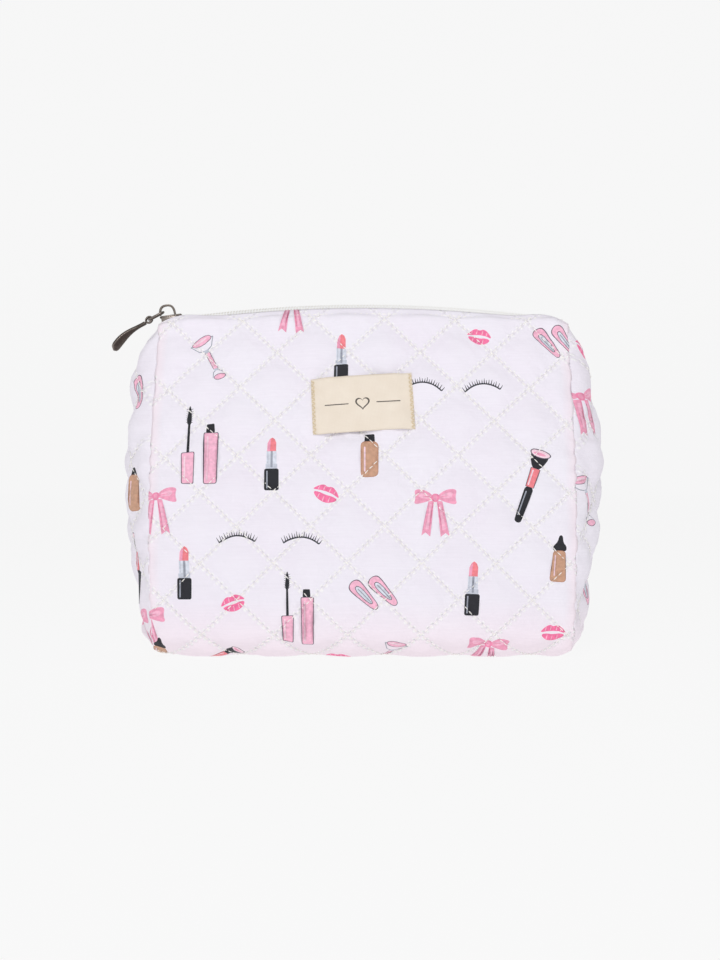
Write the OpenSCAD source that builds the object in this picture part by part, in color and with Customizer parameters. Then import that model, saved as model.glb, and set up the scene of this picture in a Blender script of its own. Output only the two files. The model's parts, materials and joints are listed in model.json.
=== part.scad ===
// Quilted makeup bag: one wrapped panel, two puffed gussets and a curved coil zip.
// Millimetres, +Z up, the front looks along -Y. The origin is the middle of the
// face that the bag stands on.

/* [Bag] */
// Width of the wrapped panel, from side seam to side seam
body_w = 212; // [160:1:260]
// Height of the fold along the top edge
fold_z = 173; // [130:1:210]
// Depth of the bag at its bottom
body_d = 90; // [70:1:120]
// Depth of the bag at the top fold
fold_d = 24; // [22:1:40]
// Radius of the rounded bottom edges
corner_r = 18; // [10:1:24]
// How full the walls are: 1 is flat, more is rounder
belly = 1.6; // [1:0.1:2.5]
// How far a gusset stands out past its seam
gusset_bulge = 16; // [6:1:24]

/* [Fabric] */
// Thickness of the printed cover
cover_t = 0.8; // [0.5:0.1:1.2]
// Thickness of the quilted wadding
wadding_t = 2.4; // [1:0.1:4]
// Thickness of the lining
lining_t = 0.8; // [0.5:0.1:1.2]
// Width of the binding over the side seams, inside the bag
binding_w = 8; // [5:1:12]
// Thickness of that binding
binding_t = 1.4; // [0.8:0.1:2]

/* [Zip] */
// Height of the zip's middle above the top fold
zip_lift = 4.4; // [3:0.1:8]
// Radius of the arch that the zip follows
zip_r = 690; // [500:10:1500]
// Width of the closed coil
chain_w = 5.8; // [4:0.1:8]
// Thickness of the coil
chain_t = 2.6; // [2:0.1:4]
// Thickness of the zip tape
tape_t = 0.6; // [0.4:0.1:1]
// Distance from the middle of the zip to where the tape meets the cloth
tape_reach = 7.5; // [6.5:0.1:10]
// Distance from a side seam to the middle of the slider when the zip is closed
slider_inset = 6.5; // [6.5:0.5:20]

/* [Slider and pull] */
// Length of the slider
slider_l = 11.5; // [9:0.5:15]
// Thickness of the slider's plates
plate_t = 1; // [0.8:0.1:1.5]
// Height of the opening under the bridge
bridge_h = 4.4; // [4:0.1:6]
// Thickness of the wire in the bridge
bridge_wire = 1.2; // [0.8:0.1:1.4]
// Distance between the two eyes of the link
link_l = 8.5; // [8.5:0.5:14]
// Length of the pull tab from its eye to its tip
tab_l = 23; // [15:1:40]
// Width of the pull tab
tab_w = 6; // [5:0.5:10]
// Thickness of the link and the tab
pull_t = 1.4; // [1:0.1:2]

/* [Label] */
// Width of the woven label
label_w = 50; // [30:1:70]
// Height of the woven label
label_h = 30; // [15:1:40]
// Thickness of the woven label
label_t = 0.6; // [0.4:0.1:1]
// Height of the label's middle above the floor
label_z = 127; // [90:1:140]
// Turn of the label in its own plane
label_turn = 3.4; // [-5:0.1:5]

/* [Hidden] */

clear = 0.4;           // room between soft pieces that move apart
pull_room = 10.5;      // how far the gussets stop below the fold, so that the pull passes over
half_w = body_w / 2;
wall_t = cover_t + wadding_t + lining_t;
lip_wadding = 0.3;     // share of the wadding left where the cloth meets the tape
fold_share = 0.4;      // share of the zip's arch that the fold follows
fold_slope = 0.9;      // slope of the cloth's outer face at the fold
fold_wadding = 0.7;    // share of the wadding left at the fold
lip_rise = 0.2;        // how far the cloth's edge stands above the tape
wall_rows = 9;         // rows of points from the bottom edge to the fold
wall_columns = 12;     // columns of points from seam to seam
arch_steps = 1440;     // segments in a full turn of the zip's arch

// Shape of a gusset: share of its height, share of its bulge
gusset_shape = [
    [0, 0.25], [0.04, 0.5], [0.16, 0.62], [0.3, 0.82], [0.5, 1],
    [0.72, 1], [0.84, 0.76], [0.93, 0.42], [1, 0.1]
];
gusset_rows = 12;
gusset_columns = 12;
gusset_square = 2.6;   // how square a gusset is across: 2 is round, more is squarer
gusset_flat = 0.75;    // how flat the middle of a gusset is: less is flatter

zip_z = fold_z + zip_lift;         // top of the tape at the middle of the bag
arch_z = zip_z - zip_r;            // height of the arch's centre
slider_angle = asin((half_w - slider_inset) / zip_r);
coil_gap = 0.3;                    // gap between the two coils
coil_round = 0.86;                 // how far the coil's corners are cut: 1 leaves them whole
coil_clear = 0.15;                 // angle between the last coil and the slider's middle post
tape_gap = 2.4;                    // gap between the two tapes, under the coils
post_w = 1.6;                      // width of the slider's middle post
channel = 0.35;                    // room between the zip and the slider
pin_clear = 0.3;                   // room round a bar in an eye
pull_droop = 28;                   // how far the link hangs below level
tab_kink = 12;                     // how much further the tab droops

function drop(x) = zip_r - sqrt(zip_r * zip_r - x * x);
function unit(v) = v / norm(v);

// One wall's profile, rows of [depth, height, share of arch, normal, share of wadding]
wall_rise = fold_z - corner_r;
function wall_lean(t) = (body_d - fold_d) / 2 * belly * pow(t, belly - 1) / wall_rise;
function wall_depth(t) = fold_d / 2 + (body_d - fold_d) / 2 * (1 - pow(t, belly));
wall_profile = concat(
    [for (i = [0 : wall_rows - 1]) let (t = i / wall_rows)
        [wall_depth(t), corner_r + t * wall_rise, fold_share * t, unit([1, wall_lean(t)]), 1]],
    [[fold_d / 2, fold_z, fold_share, unit([1, fold_slope]), fold_wadding]],
    [[tape_reach, zip_z + lip_rise, 1, [0, 1], lip_wadding]]
);

// Depth below the outer face of the top of layer 0, 1, 2 and of the inner face, 3
function layer_depth(layer, share) =
    layer == 0 ? 0 :
    layer == 1 ? cover_t :
    layer == 2 ? cover_t + wadding_t * share :
    cover_t + wadding_t * share + lining_t;

function wall_point(row, x, layer) =
    let (d = layer_depth(layer, row[4]), y = row[0] - row[3][0] * d)
    [x, y, row[1] - row[3][1] * d - row[2] * drop(x)];

// The same wall at a side seam, where the arch makes it a little lower
side_rise = wall_rise - fold_share * drop(half_w);
function side_lean(t) = wall_lean(t) * wall_rise / side_rise;
function side_point(t, depth) =
    [wall_depth(t), corner_r + t * side_rise] - depth * unit([1, side_lean(t)]);

// Faces of a closed skin between two equal grids of points, the first one outermost
function grid_faces(rows, columns) =
    let (n = rows * columns, at = function(r, c) r * columns + c)
    concat(
        [for (r = [0 : rows - 2], c = [0 : columns - 2])
            each [[at(r, c), at(r + 1, c), at(r + 1, c + 1)], [at(r, c), at(r + 1, c + 1), at(r, c + 1)]]],
        [for (r = [0 : rows - 2], c = [0 : columns - 2]) each [
            [n + at(r, c), n + at(r + 1, c + 1), n + at(r + 1, c)],
            [n + at(r, c), n + at(r, c + 1), n + at(r + 1, c + 1)]]],
        [for (r = [0 : rows - 2]) each [
            [at(r, 0), n + at(r, 0), n + at(r + 1, 0)],
            [at(r, 0), n + at(r + 1, 0), at(r + 1, 0)],
            [at(r, columns - 1), n + at(r + 1, columns - 1), n + at(r, columns - 1)],
            [at(r, columns - 1), at(r + 1, columns - 1), n + at(r + 1, columns - 1)]]],
        [for (c = [0 : columns - 2]) each [
            [at(0, c), n + at(0, c + 1), n + at(0, c)],
            [at(0, c), at(0, c + 1), n + at(0, c + 1)],
            [at(rows - 1, c), n + at(rows - 1, c), n + at(rows - 1, c + 1)],
            [at(rows - 1, c), n + at(rows - 1, c + 1), at(rows - 1, c + 1)]]]
    );

// One layer of the back wall; the front wall is its mirror image
module wall(layer) {
    columns = [for (c = [0 : wall_columns]) -half_w + c * body_w / wall_columns];
    points = [for (side = [layer, layer + 1], row = wall_profile, x = columns)
        wall_point(row, x, side)];
    polyhedron(points, grid_faces(len(wall_profile), wall_columns + 1));
}

// Outline of the bottom of the bag, moved inwards by a depth, from back to front
function base_outline(depth) =
    let (r = corner_r - depth, flat = body_d / 2 - corner_r)
    concat(
        [for (a = [0 : 15 : 90]) [flat + r * cos(a), corner_r - r * sin(a)]],
        [for (a = [90 : 15 : 180]) [-flat + r * cos(a), corner_r - r * sin(a)]]
    );

function reversed(list) = [for (i = [len(list) - 1 : -1 : 0]) list[i]];

// Extrudes a shape drawn as depth and height across the bag
module across(from, width) {
    translate([from, 0, 0])
        rotate([90, 0, 90])
            linear_extrude(width) children();
}

module base_layer(layer) {
    seam = clear;      // the walls turn just above this edge
    difference() {
        across(-half_w, body_w)
            polygon(concat(
                base_outline(layer_depth(layer, 1)),
                reversed(base_outline(layer_depth(layer + 1, 1)))));
        translate([-body_w, -body_d, corner_r - seam])
            cube([2 * body_w, 2 * body_d, corner_r]);
    }
}

// Half the depth of a gusset at a height above the floor
gusset_low = wall_t + clear;
gusset_high = corner_r + side_rise - pull_room;
function gusset_half(z) =
    let (r = corner_r - wall_t - clear, flat = body_d / 2 - corner_r, t = (z - corner_r) / side_rise)
    z < corner_r ? flat + sqrt(max(0, r * r - pow(corner_r - z, 2)))
    : wall_depth(t) - (wall_t + clear) * norm([1, side_lean(t)]);

function gusset_out(s, u) =
    gusset_bulge * lookup(u, gusset_shape)
    * pow(max(0, 1 - pow(abs(s), gusset_square)), gusset_flat);

// One layer of the right gusset; the left one is its mirror image
module gusset(layer) {
    shares = [for (r = [0 : gusset_rows]) pow(r / gusset_rows, r < 3 ? 1.4 : 1)];
    turns = [for (c = [0 : gusset_columns]) -cos(180 * c / gusset_columns)];
    points = [for (side = [layer, layer + 1], u = shares, s = turns)
        let (z = gusset_low + u * (gusset_high - gusset_low))
        [half_w - layer_depth(side, 1) + gusset_out(s, u), s * gusset_half(z), z]];
    polyhedron(points, [for (f = grid_faces(gusset_rows + 1, gusset_columns + 1)) reversed(f)]);
}

// Band of binding round the inside of the left seam; it stands off the moving walls
module seam_binding() {
    inset = wall_t + clear;
    function rise(depth) = [for (i = [0 : wall_rows - 1]) side_point(i / wall_rows, depth)];
    function edge(depth) = concat(
        reversed(rise(depth)),
        [for (p = base_outline(depth)) if (p[1] < corner_r - 1) p],
        [for (p = rise(depth)) [-p[0], p[1]]]
    );
    across(-half_w + wall_t + clear, binding_w)
        polygon(concat(edge(inset), reversed(edge(inset + binding_t))));
}

// A strip that follows the arch of the zip: from and to are angles from the middle
module along_arch(from, to) {
    translate([0, 0, arch_z])
        rotate([0, from - 90, 0])
            rotate([-90, 0, 0])
                rotate_extrude(angle = to - from, $fn = arch_steps) children();
}

tape_inset = 1;                    // how far the tape stops inside a side seam
seam_angle = asin((half_w - tape_inset) / zip_r);
coil_inset = 3.2;                  // how far inside the slider's closed end the coil starts
coil_start = -slider_angle + atan((slider_l / 2 - coil_inset) / zip_r) - coil_clear;

// Tape and coil at the front; the back ones are their mirror images
module zip_tape() {
    along_arch(-seam_angle, seam_angle)
        translate([zip_r - tape_t, tape_gap / 2])
            square([tape_t, tape_reach - tape_gap / 2]);
}

module zip_coil() {
    w = (chain_w - coil_gap) / 2;
    along_arch(coil_start, seam_angle)
        translate([zip_r, coil_gap / 2])
            intersection() {
                square([chain_t, w]);
                translate([chain_t / 2, w / 2]) circle(d = norm([chain_t, w]) * coil_round, $fn = 24);
            }
}

// Puts a slider part, drawn with its length along X on the tape, at the closed end
module at_slider() {
    translate([0, 0, arch_z])
        rotate([0, -slider_angle, 0])
            translate([0, 0, zip_r]) children();
}

slider_half = chain_w / 2 + channel;
plate_low = -tape_t - channel - plate_t;
plate_high = chain_t + channel;

// Outline of a slider plate: wide shoulders at the open end, a narrow tail
module plate_outline() {
    shoulder = slider_half + plate_t;
    tail = shoulder - 0.8;      // the tail is this much narrower at each side
    front_cut = 2;              // corner cut off at the open end
    tail_cut = 1;               // corner cut off at the tail
    waist = 0.5;                // where the plate starts to narrow
    end = slider_l / 2;
    polygon([
        [-end, -shoulder + front_cut], [-end + front_cut, -shoulder], [waist, -shoulder],
        [end - tail_cut, -tail], [end, -tail + tail_cut],
        [end, tail - tail_cut], [end - tail_cut, tail], [waist, shoulder],
        [-end + front_cut, shoulder], [-end, shoulder - front_cut]
    ]);
}

bridge_reach = 3.2;                     // half the length of the opening under the bridge
bridge_x = bridge_reach + bridge_wire - slider_l / 2;    // the bridge stands at the open end
bridge_w = 2.2;
link_side = 1.8;                        // half the width between the link's sides

module bridge_shape() {
    h = bridge_h + bridge_wire;
    difference() {
        translate([-bridge_reach - bridge_wire, 0])
            square([2 * (bridge_reach + bridge_wire), h]);
        translate([-bridge_reach, 0]) square([2 * bridge_reach, bridge_h]);
        for (side = [-1, 1])
            translate([side * (bridge_reach + bridge_wire), h]) rotate(45)
                square(2 * bridge_wire, center = true);
    }
}

// Places the link: X runs along it from the bar under the bridge to the tab
link_pivot = [bridge_x - bridge_reach + pull_t / 2 + pin_clear, 0, plate_high + plate_t + bridge_h / 2];
module at_link() {
    at_slider() translate(link_pivot) rotate([0, slider_angle, 0])
        rotate([0, -pull_droop, 0]) mirror([1, 0, 0]) children();
}

// A ring of round wire; its near bar runs under the bridge, its far bar holds the tab
module link_ring() {
    for (x = [0, link_l])
        translate([x, 0, 0]) rotate([90, 0, 0])
            cylinder(h = 2 * (link_side + pull_t), d = pull_t, center = true, $fn = 32);
    for (side = [-1, 1])
        translate([0, side * (link_side + pull_t / 2), 0]) rotate([0, 90, 0])
            translate([-pull_t / 2, -pull_t / 2, 0]) cube([pull_t, pull_t, link_l]);
}

module at_tab() {
    at_link() translate([link_l, 0, 0]) rotate([0, tab_kink, 0]) children();
}

// A round eye on the far bar of the link, then a blade that widens to a round tip
module tab_blade() {
    eye_r = pull_t / 2 + pin_clear;
    eye_wall = 0.8;
    eye_w = 2 * (link_side - pin_clear);
    neck_x = eye_r + eye_wall + 0.6;
    tip_x = tab_l - tab_w / 2;
    rotate([90, 0, 0])
        translate([0, 0, -eye_w / 2])
            linear_extrude(eye_w)
                difference() {
                    union() {
                        circle(eye_r + eye_wall, $fn = 48);
                        translate([0, -pull_t / 2]) square([neck_x + 1, pull_t]);
                    }
                    circle(eye_r, $fn = 48);
                }
    translate([0, 0, -pull_t / 2])
        linear_extrude(pull_t) {
            polygon([[neck_x, -eye_w / 2], [tip_x, -tab_w / 2], [tip_x, tab_w / 2], [neck_x, eye_w / 2]]);
            translate([tip_x, 0]) circle(d = tab_w, $fn = 48);
        }
}

module base_cover() { color("lavenderblush") base_layer(0); }
module base_wadding() { color("white") base_layer(1); }
module base_lining() { color("ivory") base_layer(2); }

module front_cover() { color("lavenderblush") mirror([0, 1, 0]) wall(0); }
module front_wadding() { color("white") mirror([0, 1, 0]) wall(1); }
module front_lining() { color("ivory") mirror([0, 1, 0]) wall(2); }

module back_cover() { color("lavenderblush") wall(0); }
module back_wadding() { color("white") wall(1); }
module back_lining() { color("ivory") wall(2); }

module left_gusset_cover() { color("thistle") mirror([1, 0, 0]) gusset(0); }
module left_gusset_wadding() { color("white") mirror([1, 0, 0]) gusset(1); }
module left_gusset_lining() { color("ivory") mirror([1, 0, 0]) gusset(2); }

module right_gusset_cover() { color("thistle") gusset(0); }
module right_gusset_wadding() { color("white") gusset(1); }
module right_gusset_lining() { color("ivory") gusset(2); }

module left_seam_binding() { color("pink") seam_binding(); }
module right_seam_binding() { color("pink") mirror([1, 0, 0]) seam_binding(); }

module front_zip_tape() { color("antiquewhite") mirror([0, 1, 0]) zip_tape(); }
module back_zip_tape() { color("antiquewhite") zip_tape(); }
module front_zip_coil() { color("linen") mirror([0, 1, 0]) zip_coil(); }
module back_zip_coil() { color("linen") zip_coil(); }

module slider_body() {
    color("dimgray") at_slider() {
        translate([0, 0, plate_low]) linear_extrude(plate_t) plate_outline();
        translate([0, 0, plate_high]) linear_extrude(plate_t) plate_outline();
        translate([0, 0, channel])
            linear_extrude(plate_high + plate_t / 2 - channel)
                intersection() {
                    plate_outline();
                    for (side = [-1, 1])
                        translate([-slider_l / 2 + 2, side > 0 ? slider_half : -slider_half - plate_t])
                            square([slider_l - 3, plate_t]);
                }
        translate([-slider_l / 2 + 0.6, -post_w / 2, plate_low + plate_t / 2])
            cube([2, post_w, plate_high - plate_low]);
    }
}

module slider_bridge() {
    color("dimgray") at_slider()
        translate([bridge_x, bridge_w / 2, plate_high + plate_t])
            rotate([90, 0, 0])
                linear_extrude(bridge_w) bridge_shape();
}

module pull_link() { color("dimgray") at_link() link_ring(); }
module pull_tab() { color("dimgray") at_tab() tab_blade(); }

// The label lies on the front wall, at the wall's own slope
module label() {
    t = (label_z - corner_r) / wall_rise;
    lean = atan(wall_lean(t));
    color("bisque")
        translate([0, -wall_depth(t), label_z])
            rotate([90 - lean, 0, 0])
                rotate([0, 0, label_turn])
                    translate([-label_w / 2, -label_h / 2, 0])
                        cube([label_w, label_h, label_t]);
}

base_cover();
base_wadding();
base_lining();
front_cover();
front_wadding();
front_lining();
back_cover();
back_wadding();
back_lining();
left_gusset_cover();
left_gusset_wadding();
left_gusset_lining();
right_gusset_cover();
right_gusset_wadding();
right_gusset_lining();
left_seam_binding();
right_seam_binding();
front_zip_tape();
back_zip_tape();
front_zip_coil();
back_zip_coil();
slider_body();
slider_bridge();
pull_link();
pull_tab();
label();
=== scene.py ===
"""Visual model of a quilted cotton makeup bag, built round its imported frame.

Lengths inside the classes are millimetres and turn to metres when a mesh is made.
Cloth is drawn flat first, as a maker cuts it: u runs across the wrapped panel and v runs
along it, from the middle of the bottom (0) up the front (positive) or up the back
(negative). The flat drawing carries the quilting and the print, and BagForm folds it.
"""

from __future__ import annotations

import json
import logging
import math
from dataclasses import dataclass, field
from enum import Enum
from typing import Callable, Iterable, Sequence

import bmesh
import bpy
import numpy as np
from bmesh.types import BMesh, BMVert
from bpy.types import Material, NodeSocket, NodeTree, Object
from mathutils import Matrix, Vector
from mathutils.geometry import delaunay_2d_cdt

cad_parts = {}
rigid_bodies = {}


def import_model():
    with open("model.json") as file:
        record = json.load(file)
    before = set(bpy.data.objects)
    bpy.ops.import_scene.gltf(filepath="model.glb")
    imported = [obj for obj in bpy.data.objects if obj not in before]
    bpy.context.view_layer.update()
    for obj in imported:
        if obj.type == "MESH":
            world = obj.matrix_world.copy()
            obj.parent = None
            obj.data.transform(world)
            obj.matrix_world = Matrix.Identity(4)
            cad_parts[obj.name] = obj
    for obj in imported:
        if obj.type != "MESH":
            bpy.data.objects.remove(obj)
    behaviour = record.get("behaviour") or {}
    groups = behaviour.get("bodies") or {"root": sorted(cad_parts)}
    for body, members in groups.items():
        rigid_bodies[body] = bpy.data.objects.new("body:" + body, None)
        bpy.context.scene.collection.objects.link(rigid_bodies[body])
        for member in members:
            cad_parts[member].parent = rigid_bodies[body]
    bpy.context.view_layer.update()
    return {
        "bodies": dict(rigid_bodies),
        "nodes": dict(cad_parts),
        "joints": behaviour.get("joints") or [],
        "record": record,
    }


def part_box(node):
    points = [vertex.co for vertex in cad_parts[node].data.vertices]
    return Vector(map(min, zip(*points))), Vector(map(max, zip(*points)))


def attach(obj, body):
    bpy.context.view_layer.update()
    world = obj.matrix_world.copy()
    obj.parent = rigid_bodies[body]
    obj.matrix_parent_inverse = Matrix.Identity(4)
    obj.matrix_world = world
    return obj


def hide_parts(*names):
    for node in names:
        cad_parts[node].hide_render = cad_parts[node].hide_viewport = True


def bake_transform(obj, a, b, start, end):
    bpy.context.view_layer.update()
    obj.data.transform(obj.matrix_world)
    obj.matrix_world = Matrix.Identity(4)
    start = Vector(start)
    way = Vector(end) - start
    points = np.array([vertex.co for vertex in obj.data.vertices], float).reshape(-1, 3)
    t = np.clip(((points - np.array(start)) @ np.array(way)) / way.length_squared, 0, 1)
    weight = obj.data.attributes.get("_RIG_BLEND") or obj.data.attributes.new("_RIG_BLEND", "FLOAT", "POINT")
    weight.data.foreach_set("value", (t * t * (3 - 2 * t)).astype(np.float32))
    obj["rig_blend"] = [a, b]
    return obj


MM = 0.001
SEED = 11
LOG = logging.getLogger("makeup_bag")
Array = np.ndarray
Colour = tuple[float, float, float, float]
Surface = Callable[[Array, Array], Array]
USUAL_OUTPUT = {"Mix": 2, "TexWave": 1}  # every other node: its first

# How far a gusset is puffed out, as a share of its bulge, at shares of its height.
GUSSET_HEIGHTS = (0, 0.02, 0.05, 0.1, 0.18, 0.3, 0.42, 0.55, 0.7, 0.8, 0.87, 0.93, 0.97, 1)
GUSSET_PUFF = (0, 0.3, 0.46, 0.55, 0.66, 0.82, 0.94, 1, 1, 0.93, 0.81, 0.62, 0.38, 0.04)


class Side(Enum):
    """Front or back of the bag; the value is the sign of v on that side."""

    FRONT = 1
    BACK = -1

    @property
    def body(self) -> str:
        """Name of the moving body that this wall belongs to."""
        return "front_wall" if self is Side.FRONT else "back_wall"

    @property
    def word(self) -> str:
        """Word that starts the names of this side's pieces."""
        return self.name.lower()


class End(Enum):
    """Left or right end of the bag; the value is the sign of x there."""

    LEFT = -1
    RIGHT = 1

    @property
    def word(self) -> str:
        """Word that starts the names of this end's pieces."""
        return self.name.lower()


# ---- small helpers


def linear(hex_code: str, alpha: float = 1.0) -> Colour:
    """Turns an sRGB hex colour into the linear colour that shaders use.

    Args:
        hex_code: Colour such as "#EDEAF5".
        alpha: Fourth value of the result.

    Returns:
        Linear red, green, blue and alpha.
    """
    values = [int(hex_code[i : i + 2], 16) / 255 for i in (1, 3, 5)]
    r, g, b = (c / 12.92 if c <= 0.04045 else ((c + 0.055) / 1.055) ** 2.4 for c in values)
    return (r, g, b, alpha)


def add_node(
    tree: NodeTree, kind: str, inputs: dict | None = None, out: int | str | None = None, **settings
) -> NodeSocket:
    """Adds a node with its settings and links. A Mix node mixes colours unless told otherwise.

    Args:
        tree: Node tree of the material.
        kind: Blender's type name of the node, without its ShaderNode prefix.
        inputs: Input name or number, to a value or to the socket that feeds it.
        out: Output that is wanted, if it isn't the usual one.
        **settings: Properties of the node.

    Returns:
        The output; its node attribute leads to the others.
    """
    node = tree.nodes.new(f"ShaderNode{kind}")
    if kind == "Mix":
        node.data_type = "RGBA"
    for name, value in settings.items():
        setattr(node, name, value)
    for key, value in (inputs or {}).items():
        if isinstance(value, NodeSocket):
            tree.links.new(value, node.inputs[key])
        else:
            node.inputs[key].default_value = value
    return node.outputs[USUAL_OUTPUT.get(kind, 0) if out is None else out]


def finish_mesh(name: str, bm: BMesh, material: Material, smooth: bool = True) -> Object:
    """Writes a bmesh, drawn in millimetres, to a new object at the origin.

    Args:
        name: Name of the piece.
        bm: The shape; it is freed.
        material: Finish of the piece.
        smooth: Whether its faces are shaded smooth.

    Returns:
        The new object.
    """
    bmesh.ops.scale(bm, vec=(MM, MM, MM), verts=bm.verts)
    for face in bm.faces:
        face.smooth = smooth
    mesh = bpy.data.meshes.new(name)
    bm.to_mesh(mesh)
    bm.free()
    mesh.materials.append(material)
    obj = bpy.data.objects.new(name, mesh)
    bpy.context.scene.collection.objects.link(obj)
    return obj


def thicken(bm: BMesh, thickness: float) -> None:
    """Turns a sheet into a closed solid of even thickness, facing outwards.

    Args:
        bm: Shape that is changed.
        thickness: How far it is thickened.
    """
    bm.normal_update()
    bmesh.ops.solidify(bm, geom=bm.faces[:], thickness=thickness)
    bmesh.ops.recalc_face_normals(bm, faces=bm.faces)


def turn_shape(bm: BMesh, angle: float, axis: str) -> None:
    """Turns a shape about an axis through the origin, by an angle in radians."""
    bmesh.ops.rotate(bm, verts=bm.verts, matrix=Matrix.Rotation(angle, 3, axis))


def move_shape(bm: BMesh, by: Sequence[float]) -> None:
    """Moves a shape."""
    bmesh.ops.translate(bm, verts=bm.verts, vec=by)


def soften(bm: BMesh, angle: float, radius: float, segments: int) -> None:
    """Rounds every edge that turns by more than an angle in radians."""
    sharp = [e for e in bm.edges if e.calc_face_angle(0) > angle]
    bmesh.ops.bevel(bm, geom=sharp, offset=radius, segments=segments, profile=0.5, affect="EDGES", material=-1)


def slab(columns: int, rows: int, place: Callable[[Array, Array, Array], Array]) -> BMesh:
    """A closed thin sheet, drawn flat and then folded.

    Args:
        columns: Faces along the first share.
        rows: Faces along the second share.
        place: Function of two shares from 0 to 1 and of the side (0 outer, 1 inner) that
            gives the folded points.

    Returns:
        The folded sheet, in millimetres.
    """
    bm = bmesh.new()
    bmesh.ops.create_grid(bm, x_segments=columns, y_segments=rows, size=0.5)
    thicken(bm, 1.0)
    flat = np.array([v.co for v in bm.verts])
    side = (np.abs(flat[:, 2]) > 0.5).astype(float)
    for vert, point in zip(bm.verts, place(flat[:, 0] + 0.5, flat[:, 1] + 0.5, side)):
        vert.co = point
    bmesh.ops.recalc_face_normals(bm, faces=bm.faces)
    return bm


def scatter(name: str, shape: BMesh, places: Array, material: Material) -> Object:
    """Repeats one small shape at many places, as one piece.

    Args:
        name: Name of the piece.
        shape: The shape in millimetres; it is freed.
        places: One 4 by 4 matrix for each copy.
        material: Finish of the piece.

    Returns:
        The new object.
    """
    shape.verts.ensure_lookup_table()
    corners = np.array([(*v.co, 1.0) for v in shape.verts])
    faces = [[v.index for v in f.verts] for f in shape.faces]
    shape.free()
    points = np.einsum("nij,kj->nki", places, corners)[..., :3].reshape(-1, 3) * MM
    count = len(corners)
    polygons = [[i + k * count for i in face] for k in range(len(places)) for face in faces]
    mesh = bpy.data.meshes.new(name)
    mesh.from_pydata(points.tolist(), [], polygons)
    mesh.shade_smooth()
    mesh.materials.append(material)
    obj = bpy.data.objects.new(name, mesh)
    bpy.context.scene.collection.objects.link(obj)
    return obj


def frames_along(points: Array, directions: Array, normals: Array) -> Array:
    """Matrices that put X along a direction and Z along a normal, at each point.

    Args:
        points: Places, one row each.
        directions: Directions of X, one row each.
        normals: Rough directions of Z, one row each.

    Returns:
        One 4 by 4 matrix for each row.
    """
    x = directions / np.linalg.norm(directions, axis=1, keepdims=True)
    y = np.cross(normals, x)
    y /= np.linalg.norm(y, axis=1, keepdims=True)
    z = np.cross(x, y)
    result = np.zeros((len(points), 4, 4))
    result[:, :3, 0], result[:, :3, 1], result[:, :3, 2], result[:, :3, 3] = x, y, z, points
    result[:, 3, 3] = 1.0
    return result


def smooth_step(t: Array) -> Array:
    """Eases 0..1 in and out, and holds outside it."""
    t = np.clip(t, 0.0, 1.0)
    return t * t * (3 - 2 * t)


# ---- form of the bag


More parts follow.
